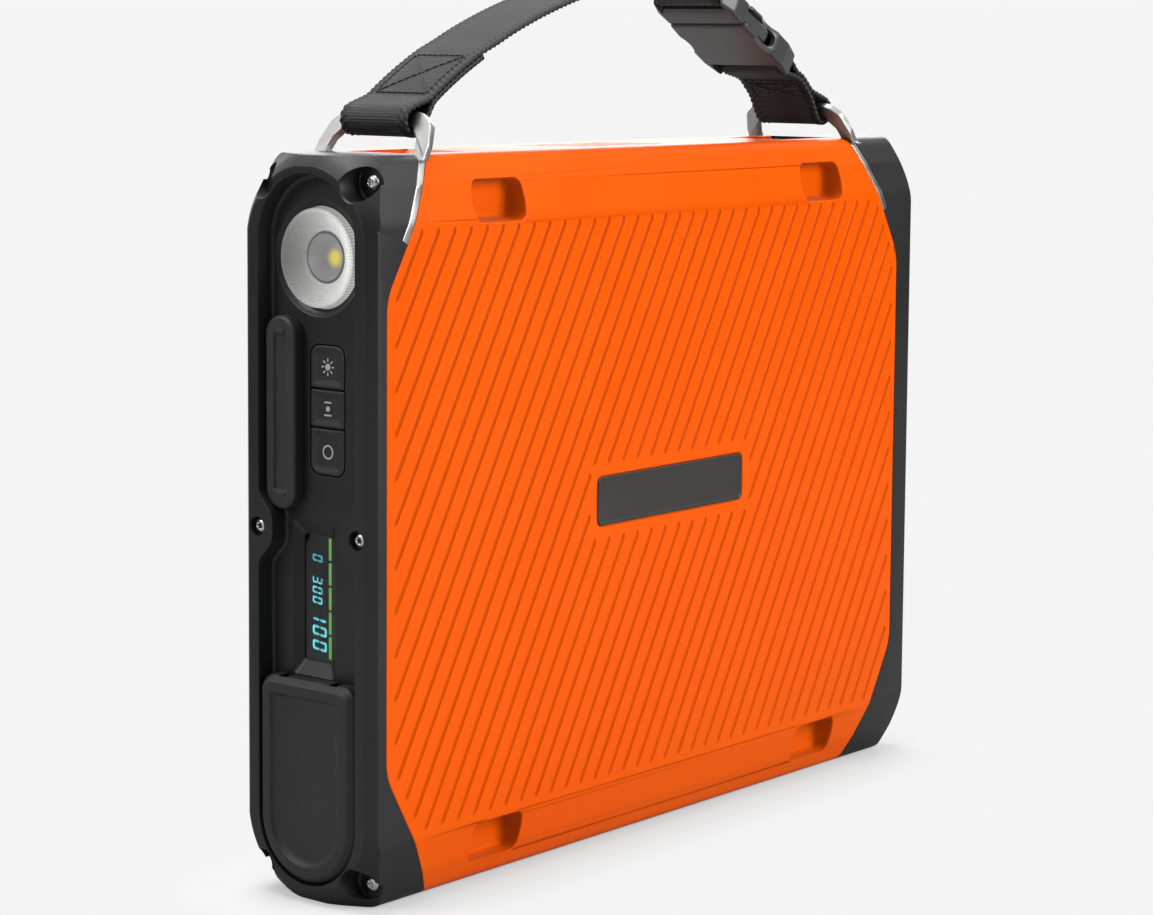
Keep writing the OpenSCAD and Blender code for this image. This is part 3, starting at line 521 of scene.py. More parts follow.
def finished(item, body, nodes, material=None, angle=40):
    """The piece shaded, given its material, and put in the place of its CAD nodes."""
    if material:
        painted(item, material)
    shaded(item, angle)
    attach(item, body)
    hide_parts(*nodes)
    return item


def new_tree(name, sizes):
    """A Geometry Nodes tree with a geometry input and output and named inputs."""
    made = bpy.data.node_groups.new(name, "GeometryNodeTree")
    made.interface.new_socket("Geometry", in_out="INPUT", socket_type="NodeSocketGeometry")
    for label, kind in sizes.items():
        made.interface.new_socket(label, in_out="INPUT", socket_type="NodeSocket" + kind)
    made.interface.new_socket("Geometry", in_out="OUTPUT", socket_type="NodeSocketGeometry")
    return made, add(made, "NodeGroupInput").outputs


def grown(name, points, edges, tree, sizes):
    """The plain mesh that a Geometry Nodes tree makes from points and lines."""
    data = bpy.data.meshes.new(name)
    data.from_pydata(points, edges, [])
    item = placed(name, data)
    step = item.modifiers.new("grown", "NODES")
    step.node_group = tree
    for entry in tree.interface.items_tree:
        if entry.in_out == "INPUT" and entry.name in sizes:
            step[entry.identifier] = sizes[entry.name]
    return applied(item)


# ---- Body sleeve ----
# One moulding in orange ABS with a fine spark-eroded grain: a flat front and rear with leaning grooves, two bands
# that fold in towards the narrow top and bottom, eight lash pockets, five vents and a recess below each ring.
# The end caps close both its mouths, along seams that lean inwards at the corners.
low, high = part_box("body_sleeve")
HALF_T = (high[1] - low[1]) / 2 / MM
HEIGHT = (high[2] - low[2]) / MM
SEAM_L = -low[0] / MM
SEAM_R = high[0] / MM
MID = HEIGHT / 2
END = 160.0
WALL = 3.0
LEAN = math.radians(30)
SEAM_RISE = 46.0
POCKET_X, POCKET_HALF, POCKET_HIGH = 95.5, 13, 14.4
POCKETS = [(sx, sy, z) for sx in (-1, 1) for sy in (-1, 1) for z in (7.0, HEIGHT - 23.1)]
RING_BED = 3.5
VENT_X, VENT_PITCH = 12, 10.5
PLATE_W, PLATE_H = 86.3, 17.4
PLATE = (-PLATE_W / 2, MID - PLATE_H / 2, PLATE_W / 2, MID + PLATE_H / 2)
GROOVE_PITCH, GROOVE_SLOPE, GROOVE_LOW, GROOVE_TOP = 8.19, 0.5616, 24.6, 225.8


def end_outline(i=0.0):
    """The outline seen from the end, in Y and Z, moved in by i."""
    t, h, tip = HALF_T, HEIGHT, max(1.5, 5 - i)
    upper = [(t - i, h - 22), (t - 3 - i, h - 10 - 0.2 * i), (t - 6.85 - 0.75 * i, h - i)]
    lower = [(y, h - z) for y, z in upper[::-1]]
    return rounded(both_sides(lower + upper), [tip, 9, 14, 14, 9, tip] * 2, 5)


def seam_x(z, reach):
    """Distance of a seam from the middle of the pack, at a height."""
    d, r = min(z, HEIGHT - z), 20.0
    tip = SEAM_RISE + r * math.tan(LEAN / 2)
    if d >= tip:
        return reach
    if d >= tip - r * math.sin(LEAN):
        return reach - r + math.sqrt(r * r - (tip - d) ** 2)
    return reach - math.tan(LEAN) * (SEAM_RISE - d)


def seam_line(reach):
    """Points down a seam, from the top, in X and Z."""
    rise = [-2, 20] + [41.36 + k * 1.25 for k in range(9)]
    heights = [HEIGHT - z for z in rise] + rise[::-1]
    return [(seam_x(z, reach), z) for z in heights]


def inside_field(x, z, seam_gap=3.6, plate_gap=4.4):
    """Whether a groove may run here: clear of the seams, the folds and the name plate."""
    if not -seam_x(z, SEAM_L) + seam_gap < x < seam_x(z, SEAM_R) - seam_gap:
        return False
    return abs(x) > PLATE_W / 2 + plate_gap or abs(z - MID) > PLATE_H / 2 + plate_gap


def groove_lines(step=0.2, shortest=5):
    """Start and end of each groove on one face, in X and Z, found by walking up each line of the field."""
    runs = []
    for k in range(-34, 35):
        middle = 3.9 + GROOVE_PITCH * k
        start = None
        z = GROOVE_LOW
        while z <= GROOVE_TOP + step:
            x = middle + GROOVE_SLOPE * (z - MID)
            if inside_field(x, z) and z < GROOVE_TOP:
                start = z if start is None else start
            elif start is not None:
                if z - start > shortest:
                    runs.append(((middle + GROOVE_SLOPE * (start - MID), start), (x, z)))
                start = None
            z += step
    return runs


# orange ABS: satin, with a grain under half a millimetre that breaks up the highlights
orange_abs = moulded("orange_abs_moulded", "#fb5900", "#fd6400", 0.34, 0.45, 0.10, 60, level=0.10)
# what it throws on its neighbours is weaker in colour than what the eye sees
tree = orange_abs.node_tree
ray = add(tree, "ShaderNodeLightPath").outputs
share = calc(tree, "MULTIPLY", ray["Is Glossy Ray"], 0.8)
share = calc(tree, "MULTIPLY_ADD", ray["Is Diffuse Ray"], 0.92, share)
tone = mixed(tree, share, base_colour(orange_abs), "#8a7f79")
feed(tree, tree.nodes["Principled BSDF"], {"Base Color": tone})

# the shell, with room for its pockets and recesses left in the wall
sleeve = bar("x", end_outline(), -END, END, "sleeve")
hollow = bar("x", end_outline(WALL), -END - 5, END + 5)
blocks = [bar("y", rectangle(sx * POCKET_X - 15, z - 2, sx * POCKET_X + 15, z + 16.4), *sorted((sy * 18, sy * 34)))
          for sx, sy, z in POCKETS]
blocks += [bar("z", rectangle(x, -16, x + 34, 16), HEIGHT - 5.5, HEIGHT + 3) for x in (-126, 86)]
shaped(hollow, [joined(blocks)])
shaped(sleeve, [hollow])
left_line = [(-x, z) for x, z in seam_line(SEAM_L)]
shaped(sleeve, [bar("y", left_line + seam_line(SEAM_R)[::-1], -40, 40)], "INTERSECT")

# lash pockets: their outer side bulges, and their walls draw in towards the back
pocket_cuts = []
for sx, sy, z in POCKETS:
    a, b = POCKET_X * sx - POCKET_HALF, POCKET_X * sx + POCKET_HALF
    middle, top = z + 7.2, z + POCKET_HIGH
    corners = [(a + 0.8, z), (b - 0.8, z), (b + 0.2, middle), (b - 0.8, top), (a + 0.8, top), (a - 1.2, middle)]
    steps = ((sy * 32, -0.35), (sy * 26, 0), (sy * 22, 0.5), (sy * 20.4, 1.4))
    pocket_cuts.append(layered("y", rounded(corners, [3.4, 3.4, 12, 3.4, 3.4, 12], 5), steps))
# recess under each ring, with a ramp at its inner end
for x, way in ((-126.44, 1), (120.44, -1)):
    run = [(x + way * -3, HEIGHT + 1), (x + way * -3, HEIGHT - RING_BED),
           (x + way * 22, HEIGHT - RING_BED), (x + way * 33, HEIGHT + 1)]
    pocket_cuts.append(bar("y", run, -13.6, 13.6))
# vents over the fan: five slots that lean across the top
c, s = math.cos(LEAN), math.sin(LEAN)
for i in range(-2, 3):
    slot = [(x * c - y * s - VENT_X + i * VENT_PITCH, x * s + y * c) for x, y in stadium(-1.5, -13, 1.5, 13, 6)]
    pocket_cuts.append(bar("z", slot, HEIGHT - 8, HEIGHT + 3))
# seat of the name plate
pocket_cuts.append(bar("y", tile(*spread(PLATE, 0.35), 2.8), -HALF_T - 2, -HALF_T + 0.55))
shaped(sleeve, [joined(pocket_cuts)])
softened(sleeve, 0.55, 3)

# grooves: each line of the field sweeps a rounded V that runs out to nothing at both ends
ABOVE_FACE = 0.3 * MM
groove_tree, given = new_tree("groove_cutters", {"Half Width": "Float", "Depth": "Float", "Run Out": "Float",
                                                 "Out": "Vector"})
tree = groove_tree
line = add(tree, "GeometryNodeMeshToCurve", {"Mesh": given["Geometry"]})
line = add(tree, "GeometryNodeSetCurveNormal", {"Curve": line, "Normal": given["Out"]}, mode="FREE")
left = add(tree, "ShaderNodeCombineXYZ", {0: ABOVE_FACE, 1: given["Half Width"]})
middle = add(tree, "ShaderNodeCombineXYZ", {0: calc(tree, "MULTIPLY_ADD", given["Depth"], -2.0, -ABOVE_FACE)})
right = add(tree, "ShaderNodeCombineXYZ", {0: ABOVE_FACE, 1: calc(tree, "MULTIPLY", given["Half Width"], -1.0)})
section = add(tree, "GeometryNodeCurveQuadraticBezier", {"Resolution": 6, "Start": left, "Middle": middle,
                                                         "End": right})
section = add(tree, "GeometryNodeSetSplineCyclic", {0: section, "Cyclic": True})
walk = add(tree, "GeometryNodeSplineParameter").outputs["Length"]
whole = add(tree, "GeometryNodeSplineLength").outputs["Length"]
near = calc(tree, "MINIMUM", walk, calc(tree, "SUBTRACT", whole, walk))
taper = calc(tree, "POWER", ranged(tree, near, 0.0, given["Run Out"], 0.02, 1.0), 0.5)
swept = add(tree, "GeometryNodeCurveToMesh", {"Curve": line, "Profile Curve": section, "Scale": taper,
                                              "Fill Caps": True})
add(tree, "NodeGroupOutput", {0: add(tree, "GeometryNodeRealizeInstances", {0: swept})})

# the rear's grooves are the front's turned half a turn, and moved by 6 mm
for side in (-1, 1):
    points, edges = [], []
    for (x0, z0), (x1, z1) in groove_lines():
        if side > 0:
            x0, x1 = 6 - x0, 6 - x1
        length = math.hypot(x1 - x0, z1 - z0)
        for s in (0, 0.3, 0.8, 1.6, length - 1.6, length - 0.8, length - 0.3, length):
            points.append(((x0 + (x1 - x0) * s / length) * MM, side * HALF_T * MM, (z0 + (z1 - z0) * s / length) * MM))
        edges += [(len(points) - 8 + j, len(points) - 7 + j) for j in range(7)]
    cutters = grown("grooves", points, edges, groove_tree,
                    {"Half Width": 1.2 * MM, "Depth": 1.0 * MM, "Run Out": 1.6 * MM, "Out": (0, side, 0)})
    with Edit(cutters.data) as work:
        bmesh.ops.recalc_face_normals(work, faces=work.faces)
    shaped(sleeve, [cutters])
finished(sleeve, "pack", ["body_sleeve"], orange_abs)


# ---- End caps ----
# Two mouldings in black glass-filled nylon with a fine grain. Each wraps the corners of the sleeve, stands a rim
# proud round a sunken end panel, and has an oval well in each corner and a lug at each side for a screw.
FLOOR = -END + 6.5
BACK = FLOOR + 3
LAMP_Z = HEIGHT - 34
CORNER_Y, CORNER_Z, SIDE_Y = 21.5, 8.5, 22.8
SEAT_L, SEAT_R = 150.0, 144.0
SCREW_HOLE = 1.7
TOP_CORNERS = [(y * CORNER_Y, HEIGHT - CORNER_Z) for y in (-1, 1)]

black_nylon = moulded("black_nylon_moulded", "#1d1d1e", "#242425", 0.42, 0.5, 0.12, 40, level=0.4)


def lug_path(side, wide, reach, tall):
    """Corners of a recess edge that flows round the screw lug at one side, going down from the top."""
    return [(side * wide, MID + tall), (side * reach, MID + tall * 0.42),
            (side * reach, MID - tall * 0.42), (side * wide, MID - tall)]


def recess_outline(half=22, top=6, radius=21.99):
    """The sunken panel seen from the end: round at top and bottom, pinched between the two side lugs."""
    lugs = [lug_path(side, half, 15.6, 11.5) for side in (1, -1)]
    corners = [(-half, top), (half, top)] + lugs[0][::-1] + [(half, HEIGHT - top), (-half, HEIGHT - top)] + lugs[1]
    return rounded(corners, [radius, radius, 5, 6, 6, 5] * 2, 12)


def cut_in(outline, start, end, flare=0.4):
    """A cutter that goes in from a face, with the rim of its mouth rolled over."""
    return layered("x", outline, ((start - 1, -flare), (start - 0.02, -flare), (start + flare * 0.3, -flare * 0.35),
                                  (start + flare, 0), (end, 0)))


def shoulder():
    """What the cap keeps near its end: a stadium that widens inwards, and so rounds the shoulders off."""
    growth = ((-1, -0.4), (0, 0), (0.15, 0.6), (2.8, 3.5), (4.2, 4.6), (7, 6.9), (10, 9.6), (13, 12.8), (40, 44))
    return layered("x", stadium(-26.4, 3.6, 26.4, HEIGHT - 3.6, 28), [(-END + x, -g) for x, g in growth])


def cap(name, reach, seat, depth, back, well):
    """One end cap before its openings are cut, as the left one; the right one is turned over later."""
    shell = stacked("x", [(-END + x, end_outline(i)) for x, i in ((0, 3.9), (0.15, 3.3), (2.8, 0.45), (3.7, 0.0))]
                    + [(0, end_outline())], name)
    beyond_seam = [(-x, z) for x, z in seam_line(reach)] + [(5, -2), (5, HEIGHT + 2)]
    shaped(shell, [bar("y", beyond_seam, -40, 40), bar("x", end_outline(WALL), back, 5)])
    plug = bar("x", end_outline(WALL + 0.15), -END + depth - 1, back)
    corners = [(y, z) for y in (-1, 1) for z in (CORNER_Z, HEIGHT - CORNER_Z)]
    posts = ((back - 0.5, 8.6), (-seat + 6.0, 8.6), (-seat + 7.0, 4), (-5, 4))
    tubes = joined([turned("post", posts, (y * CORNER_Y, z), n=32) for y, z in corners])
    shaped(tubes, [bar("x", end_outline(WALL - 1), -END, 0)], "INTERSECT")
    shaped(tubes, [bar("y", beyond_seam, -40, 40)])
    shaped(shell, [plug, tubes], "UNION")
    shaped(shell, [shoulder()], "INTERSECT")
    base = -END + depth
    steps = ((-END - 2, -0.5), (-END - 0.02, -0.5), (-END + 0.15, -0.15), (-END + 0.55, 0.05),
             (base - 1.1, 0.35), (base - 0.45, 0.65), (base - 0.12, 1.2), (base, 2.0))
    recess = layered("x", recess_outline(), steps)
    wells = []
    for y, z in corners:
        out = math.copysign(1, z - MID)
        lean = math.atan2(out * 18.9, y * 20.9)
        c, s = math.cos(lean), math.sin(lean)
        oval = [(y * 20.9 + c * p - s * q, z - out * 0.6 + s * p + c * q)
                for p, q in ((well * math.cos(a), (well + 0.4) * math.sin(a)) for a in turns(48))]
        steps = ((-END - 2, -0.5), (-END - 0.02, -0.4), (-END + 0.5, 0), (-seat - 0.6, 0), (-seat, 0.6))
        wells.append(layered("x", oval, steps))
    holes = [cut_in(circle(y * SIDE_Y, MID, 3.3, 32), -END, -END + 3, 0.3) for y in (-1, 1)]
    holes += [bar("x", circle(y * SIDE_Y, MID, SCREW_HOLE, 20), -END + 2, 2) for y in (-1, 1)]
    shanks = [bar("x", circle(y * CORNER_Y, z, SCREW_HOLE, 20), -seat - 1, 2) for y, z in corners]
    return shaped(shell, [recess, joined(wells), joined(holes), joined(shanks), ring_plate(reach, 0.1)])


def slope(z, drop=0.75):
    """Distance up the plane of a ring, for a height above the pack's top face."""
    return (z - drop) / math.cos(LEAN)


def ring_plate(reach, clear, steps=6):
    """A ring as stamped from 3 mm plate, standing in the plane of the left seam. As a cutter it is thicker by a
    clearance at both faces, which takes it a little through the seam, and its window is narrower."""
    outer = both_sides([(HALF_T + 2, slope(-28)), (HALF_T + 2, slope(-5)), (25.3, slope(-2.4)), (24.9, slope(3)),
                        (22.6, slope(9.6)), (18.2, slope(12.8)), (11, slope(13.5))])
    window = both_sides([(y - clear, slope(z)) for y, z in ((17.2, -30), (17.2, -5), (19.8, -2.4), (19.8, 1),
                                                            (18.4, 5.6), (15.6, 8))])
    outer_radii, window_radii = [0.5, 3, 3, 8, 5, 6, 9], [0.5, 3, 3, 3, 3, 2]
    thick = 3.0 + clear
    plate = bar("x", rounded(outer, outer_radii + outer_radii[::-1], steps), -thick, clear, "ring")
    shaped(plate, [bar("x", rounded(window, window_radii + window_radii[::-1], steps), -thick - 1, 1)])
    foot = Matrix.Translation((-(reach - math.tan(LEAN) * SEAM_RISE) * MM, 0, HEIGHT * MM))
    plate.data.transform(foot @ Matrix.Rotation(LEAN, 4, "Y"))
    return plate


left_cap = cap("left_cap", SEAM_L, SEAT_L, 6.5, BACK, 5.6)

# openings of the end panel: lamp with its bezel, button strip, display with sloped walls, ports and outlet
STRIP = (-11.5, MID + 19.1, 3.9, MID + 62.3)
COVER = (7.1, MID + 6.5, 20.7, MID + 71.5)
DISPLAY = (-7, MID - 49.2, 11.9, MID + 2.6)
VIEW = (-3.8, MID - 44.8, 9.3, MID - 1.8)
OUTLET_TOP = 75.5
OUTLET = (-16.5, 14.5, 16.5, OUTLET_TOP - 8)
PORT_PIN, OUTLET_PIN = (-156.6, 19.4), (-157.6, OUTLET_TOP - 2.7)
PORT_LUGS, OUTLET_LUGS = (MID + 27, MID + 51), (-11.5, 11.5)
KNUCKLE, PIN_HOLE = 1.2, 0.72
bezel = ((FLOOR - 1, 19.9), (FLOOR - 0.02, 19.9), (FLOOR + 0.25, 19.3), (FLOOR + 0.9, 18.6), (FLOOR + 1.3, 17.6),
         (FLOOR + 1.4, 16.5))
mouth, view = tile(*DISPLAY, 1.6), tile(*VIEW, 1.2)
shaped(left_cap, [
    bar("x", circle(0, LAMP_Z, 17.1, 72), -END - 1, BACK + 1),
    turned("bezel", bezel, (0, LAMP_Z), n=72),
    cut_in(tile(*spread(STRIP, 0.3), 4.1), FLOOR, BACK + 1, 0.3),
    stacked("x", [(FLOOR - 1, inset(mouth, -0.35)), (FLOOR - 0.02, inset(mouth, -0.35)), (FLOOR + 0.3, mouth),
                  (BACK - 0.3, view), (BACK + 1, view)]),
    bar("x", stadium(*spread(COVER, -1.3, -1.5)), FLOOR - 1, BACK + 1),
    bar("x", tile(*OUTLET, 4), FLOOR - 1, BACK + 1)])

# knuckles that carry the two hinge pins
knuckles = []
for axis, (x, across), half, lugs in (("z", PORT_PIN, 1, PORT_LUGS), ("y", OUTLET_PIN, 1.1, OUTLET_LUGS)):
    for at in lugs:
        knuckles += [bar(axis, circle(x, across, KNUCKLE, 20), at - 1.5, at + 1.5),
                     bar(axis, rectangle(x, across - half, FLOOR + 0.5, across + half), at - 1.5, at + 1.5)]
shaped(left_cap, knuckles, "UNION")
finished(left_cap, "pack", ["left_end_cap"], black_nylon, 33)

right_cap = mirrored(cap("right_cap", SEAM_R, SEAT_R, 2.5, -END + 5.5, 3.6))
finished(right_cap, "pack", ["right_end_cap"], black_nylon, 33)


# ---- Strap rings ----
# A flat ring stamped from 3 mm steel plate, tumbled and nickel-plated, at each end of the top. Its legs run down
# between cap and sleeve, held by the corner screws, so that only their edge shows along the seam.
plated_steel = metal("nickel_plated_steel", "#a8a8a6", "#b9b9b6", 0.34)
for name, reach, node in (("left_ring_steel", SEAM_L, "left_ring"), ("right_ring_steel", SEAM_R, "right_ring")):
    ring = ring_plate(reach, 0.0, 10)
    # above the top face the ring stands free; below it, it ends flush with the sleeve
    above = placed("above", ring.data.copy())
    shaped(above, [bar("z", rectangle(-END, -40, 0, 40), HEIGHT - 2.0, HEIGHT + 40)], "INTERSECT")
    shaped(ring, [bar("x", end_outline(0.03), -END, 0)], "INTERSECT")
    shaped(ring, [above], "UNION")
    shaped(ring, [bar("x", circle(*corner, SCREW_HOLE, 20), -END, 0) for corner in TOP_CORNERS])
    softened(ring, 0.5, 3)
    ring.name = name
    if reach == SEAM_R:
        mirrored(ring)
    finished(ring, "pack", [node], plated_steel)


# ---- Cap screws ----
# Button-head M3 machine screws in zinc-plated steel, six to a cap, each with a six-lobed socket. The long ones draw
# the corners of the cap onto the sleeve, through the ring's legs at the top; the short ones hold its sides.
def screw(length, core=1.32, crest=1.5, thread_pitch=0.5):
    """A screw along X, with its seat at the origin."""
    head = [(-1.75, 0.0), (-1.74, 0.8), (-1.62, 1.5), (-1.3, 2.15), (-0.8, 2.6), (-0.35, 2.78), (0, 2.8), (0, crest)]
    threads = []
    t = 0.6
    while t < length - 1.5:
        threads += [(t, core), (t + 0.25, crest)]
        t += thread_pitch
    made = turned("screw", head + threads + [(length - 0.8, 1.2), (length, 0.5), (length, 0.0)], (0, 0), n=24)
    lobes = [(1.15 * (1 + 0.16 * math.cos(6 * a)) * math.cos(a), 1.15 * (1 + 0.16 * math.cos(6 * a)) * math.sin(a))
             for a in turns(48)]
    return shaded(shaped(made, [bar("x", lobes, -3, -0.5)]), 35)


zinc_steel = metal("zinc_plated_steel", "#b9bab8", "#d2d3d1", 0.26, 3.0)
screw_tree, given = new_tree("screws_in_holes", {"Screw": "Object", "Finish": "Material"})
tree = screw_tree
shape = add(tree, "GeometryNodeObjectInfo", {"Object": given["Screw"]}).outputs["Geometry"]
every = add(tree, "GeometryNodeInstanceOnPoints", {"Points": given["Geometry"], "Instance": shape})
every = add(tree, "GeometryNodeRealizeInstances", {0: every})
every = add(tree, "GeometryNodeSetMaterial", {"Geometry": every, "Material": given["Finish"]})
add(tree, "NodeGroupOutput", {0: every})


def screws(name, length, holes):
    """A screw of one length set into every hole."""
    one = screw(length)
    made = grown(name, [(x * MM, y * MM, z * MM) for x, y, z in holes], [], screw_tree,
                 {"Screw": one, "Finish": zinc_steel})
    bpy.data.objects.remove(one)
    return made


for name, seat, node in (("left_screws", SEAT_L, "left_cap_screws"), ("right_screws", SEAT_R, "right_cap_screws")):
    long = screws("corner", 30, [(-seat, y * CORNER_Y, z) for y in (-1, 1) for z in (CORNER_Z, HEIGHT - CORNER_Z)])
    short = screws("side", 14, [(-END + 3, y * SIDE_Y, MID) for y in (-1, 1)])
    sets = joined([long, short], name)
    if seat == SEAT_R:
        mirrored(sets)
    finished(sets, "pack", [node], zinc_steel, 35)


# ---- Name plate ----
# A thin satin plate of dark anodised aluminium, let into the middle of the front, with a bevelled edge. It is blank.
plate_metal = metal("dark_anodised_plate", "#3d3b3a", "#4a4846", 0.42, 30.0, 0.08)
plate_metal.node_tree.nodes["Principled BSDF"].inputs["Metallic"].default_value = 0.55
steps = ((-HALF_T + 0.6, 0), (-HALF_T + 0.1, 0), (-HALF_T - 0.2, 0.35), (-HALF_T - 0.2, 1.0), (-HALF_T - 0.05, 1.25))
name_plate = layered("y", tile(*PLATE, 2.5), steps, "blank_name_plate")
finished(name_plate, "pack", ["name_plate"], plate_metal, 25)


# ---- Lamp ----
# A clear polycarbonate lens in the upper part of the ported end. Fine rings and spokes are moulded into its face,
# with a plainer bull's eye in the middle. Behind it stand a collimator, a bright reflector cone and the LED board.
LENS_PITCH = 0.62
LAMP_AT = (0, LAMP_Z)


def lamp_centred(tree):
    """The place in the piece's own space, from the lamp's axis."""
    return add(tree, "ShaderNodeMapping", {"Vector": here(tree), "Location": (0, 0, -LAMP_Z * MM)})


def away_from(tree, centre, scale):
    """Distance from the lamp's axis, times a scale."""
    across = vector(tree, "MULTIPLY", centre, (0, scale, scale))
    return vector(tree, "LENGTH", across).outputs["Value"]


# lens and collimator material with painted light: a painted highlight on the outer lens, painted shade in its rib
# valleys, and a faint painted glow
lens_painted_light, tree, shader = new_material("clear_polycarbonate_ribbed", {"IOR": 1.45, "Transmission Weight": 0.25,
                                                                       "Roughness": 0.16, "Emission Strength": 0.28})
centre = lamp_centred(tree)
flat = add(tree, "ShaderNodeSeparateXYZ", {0: centre}).outputs
away = away_from(tree, centre, 1000)
spokes = calc(tree, "SINE", calc(tree, "MULTIPLY", calc(tree, "ARCTAN2", flat[1], flat[2]), 90.0))
rings = calc(tree, "SINE", calc(tree, "MULTIPLY", away, math.tau / LENS_PITCH))
cells = calc(tree, "ADD", spokes, rings)
# painted highlight: the outer lens is painted near white, brighter towards the front of the pack; the bull's eye stays
# greyer
outer = mixed(tree, ranged(tree, flat[1], -0.012, 0.016, 0.0, 1.0), "#fbfbf8", "#8e8f8f")
tone = mixed(tree, ranged(tree, away, 8.1, 8.5), "#9c9d9c", outer)
# painted shade: a dark ring at the step round the bull's eye, and darker valleys between the moulded rings and spokes
tone = mixed(tree, calc(tree, "COMPARE", away, 8.3, 0.45), tone, "#6d6e6e")
tone = mixed(tree, ranged(tree, cells, -2.0, 0.4, 0.45, 0.0), tone, "#5c5d5d")
# the yellow of the phosphor behind, painted on the bull's eye a little off its middle as if seen through it: a painted
# view through the lens
seen = away_from(tree, vector(tree, "ADD", centre, (0, 0.0042, 0)), 1000)
glow = ranged(tree, seen, 1.0, 4.2, 0.9, 0.0, interpolation_type="SMOOTHSTEP")
tone = mixed(tree, glow, tone, "#efe36a")
# all these painted colours also glow from the lens itself: a painted glow
feed(tree, shader, {"Base Color": tone, "Emission Color": tone, "Normal": bumped(tree, cells, 0.5, 0.10 * MM)})

profile = [(BACK + 1.2, 0), (BACK + 1.2, 18.3), (BACK, 18.3), (BACK, 16.8), (FLOOR - 1.0, 16.5), (FLOOR - 1.5, 16.0),
           (FLOOR - 1.5, 15.7)]
r = 15.5
while r > 9.4:
    x = FLOOR - 1.4 + 4.2 * ((15.5 - r) / 6.1) ** 0.8
    profile += [(x + 0.22, r), (x, r - 0.35)]
    r -= LENS_PITCH
profile += [(FLOOR + 2.9, 9.0), (FLOOR + 3.5, 8.7), (FLOOR + 3.6, 8.2), (FLOOR + 3.1, 7.9)]
r = 7.6
while r > 0.8:
    profile += [(FLOOR + 3.25, r), (FLOOR + 3.05, r - 0.3)]
    r -= LENS_PITCH
profile.append((FLOOR + 3.0, 0))
lens = turned("lamp_lens_ribbed", profile, LAMP_AT, n=96)
finished(lens, "pack", ["lamp_lens"], lens_painted_light, 25)

mirror = metal("vacuum_metallised_reflector", "#dcdddd", "#ececec", 0.22, 6.0, 0.02)
bowl = [(BACK + 1.25 + 11.25 * (1 - k / 12), 8 + 8.8 * (k / 12) ** 0.7) for k in range(13)]
profile = [(BACK + 1.25, 17.8), (BACK + 12.5, 17.8), (BACK + 12.5, 8.0)] + bowl + [(BACK + 1.25, 17.8)]
cone = turned("lamp_reflector_cone", profile, LAMP_AT, n=72)
# the profile is a closed loop, and its end faces are left in the mesh, as one disc across the mouth
with Edit(cone.data) as work:
    bmesh.ops.recalc_face_normals(work, faces=work.faces)
finished(cone, "pack", ["lamp_reflector"], mirror, 35)

profile = [(BACK + 1.25, 0), (BACK + 1.25, 8.6), (BACK + 2.0, 8.9), (BACK + 4.5, 8.1), (BACK + 8, 6.2),
           (BACK + 11.4, 4.4), (BACK + 11.4, 0)]
bull = turned("lamp_collimator_bull", profile, LAMP_AT, n=64)
finished(bull, "pack", ["lamp_collimator"], lens_painted_light, 35)

phosphor = moulded("led_phosphor_and_white_board", "#eeeeea", "#f6f6f2", 0.5, 0.4, 0.05, 5)
tree = phosphor.node_tree
glow = ranged(tree, away_from(tree, lamp_centred(tree), 1), 0.0030, 0.0036)
tone = mixed(tree, glow, "#e9d23c", base_colour(phosphor))
feed(tree, tree.nodes["Principled BSDF"], {"Base Color": tone})
profile = [(BACK + 14.1, 0), (BACK + 14.1, 17.6), (BACK + 12.6, 17.6), (BACK + 12.6, 0)]
disc = turned("led_board_round", profile, LAMP_AT, n=64)
chip = softened(bar("x", rectangle(-2.6, LAMP_Z - 2.6, 2.6, LAMP_Z + 2.6), BACK + 11.6, BACK + 12.7), 0.25)
finished(joined([disc, chip], "led_board"), "pack", ["lamp_board"], phosphor, 35)


# ---- Buttons ----
# Three rubber key tops in one strip, moulded in black silicone, each dished for a fingertip and marked with a plain
# raised sign: a disc with rays, a dot between two bars, and a ring. They press 1 mm towards the switch board behind.
button_rubber = moulded("black_silicone_rubber", "#1e1e1f", "#232324", 0.55, 0.35, 0.10, 12)
sign_white = moulded("printed_sign_white", "#c9c9c7", "#bdbdbb", 0.6, 0.3, 0.05, 4)
CUT_1, CUT_2 = STRIP[1] + 15.6, STRIP[1] + 28.6
DISH, SIGN_Y = FLOOR + 0.42, -3.8


def key_top(z0, z1, radii):
    """One key: a rolled edge round a shallow dish, on a flange that stops behind the panel."""
    top = FLOOR - 0.1
    layers = ((BACK + 1.5, 0), (top + 0.7, 0), (top + 0.2, 0.18), (top, 0.55), (top, 0.95), (top + 0.25, 1.6),
              (top + 0.5, 2.6), (top + 0.6, 3.2))
    made = stacked("x", [(x, tile(STRIP[0] + d, z0 + d, STRIP[2] - d, z1 - d, [max(0.4, r - d) for r in radii], 8))
                         for x, d in layers])
    middle = (z0 + z1) / 2
    flange = bar("x", rectangle(STRIP[0] - 1.4, z0 + 4.2, STRIP[2] + 1.4, z1 - 4.2), BACK + 0.2, BACK + 1.5)
    stem = bar("x", rectangle(-5.8, middle - 2, -1.8, middle + 2), BACK + 1, BACK + 3.1)
    return shaped(made, [flange, stem], "UNION")


def raised(outline):
    """A sign that stands up from a key's dish."""
    return bar("x", outline, DISH - 0.2, DISH + 0.3)


def rays(z):
    """Eight short rays round the middle of a sign."""
    strip = ((1.7, -0.2), (2.9, -0.2), (2.9, 0.2), (1.7, 0.2))
    return [[(SIGN_Y + math.cos(a) * r - math.sin(a) * w, z + math.sin(a) * r + math.cos(a) * w) for r, w in strip]
            for a in turns(8)]


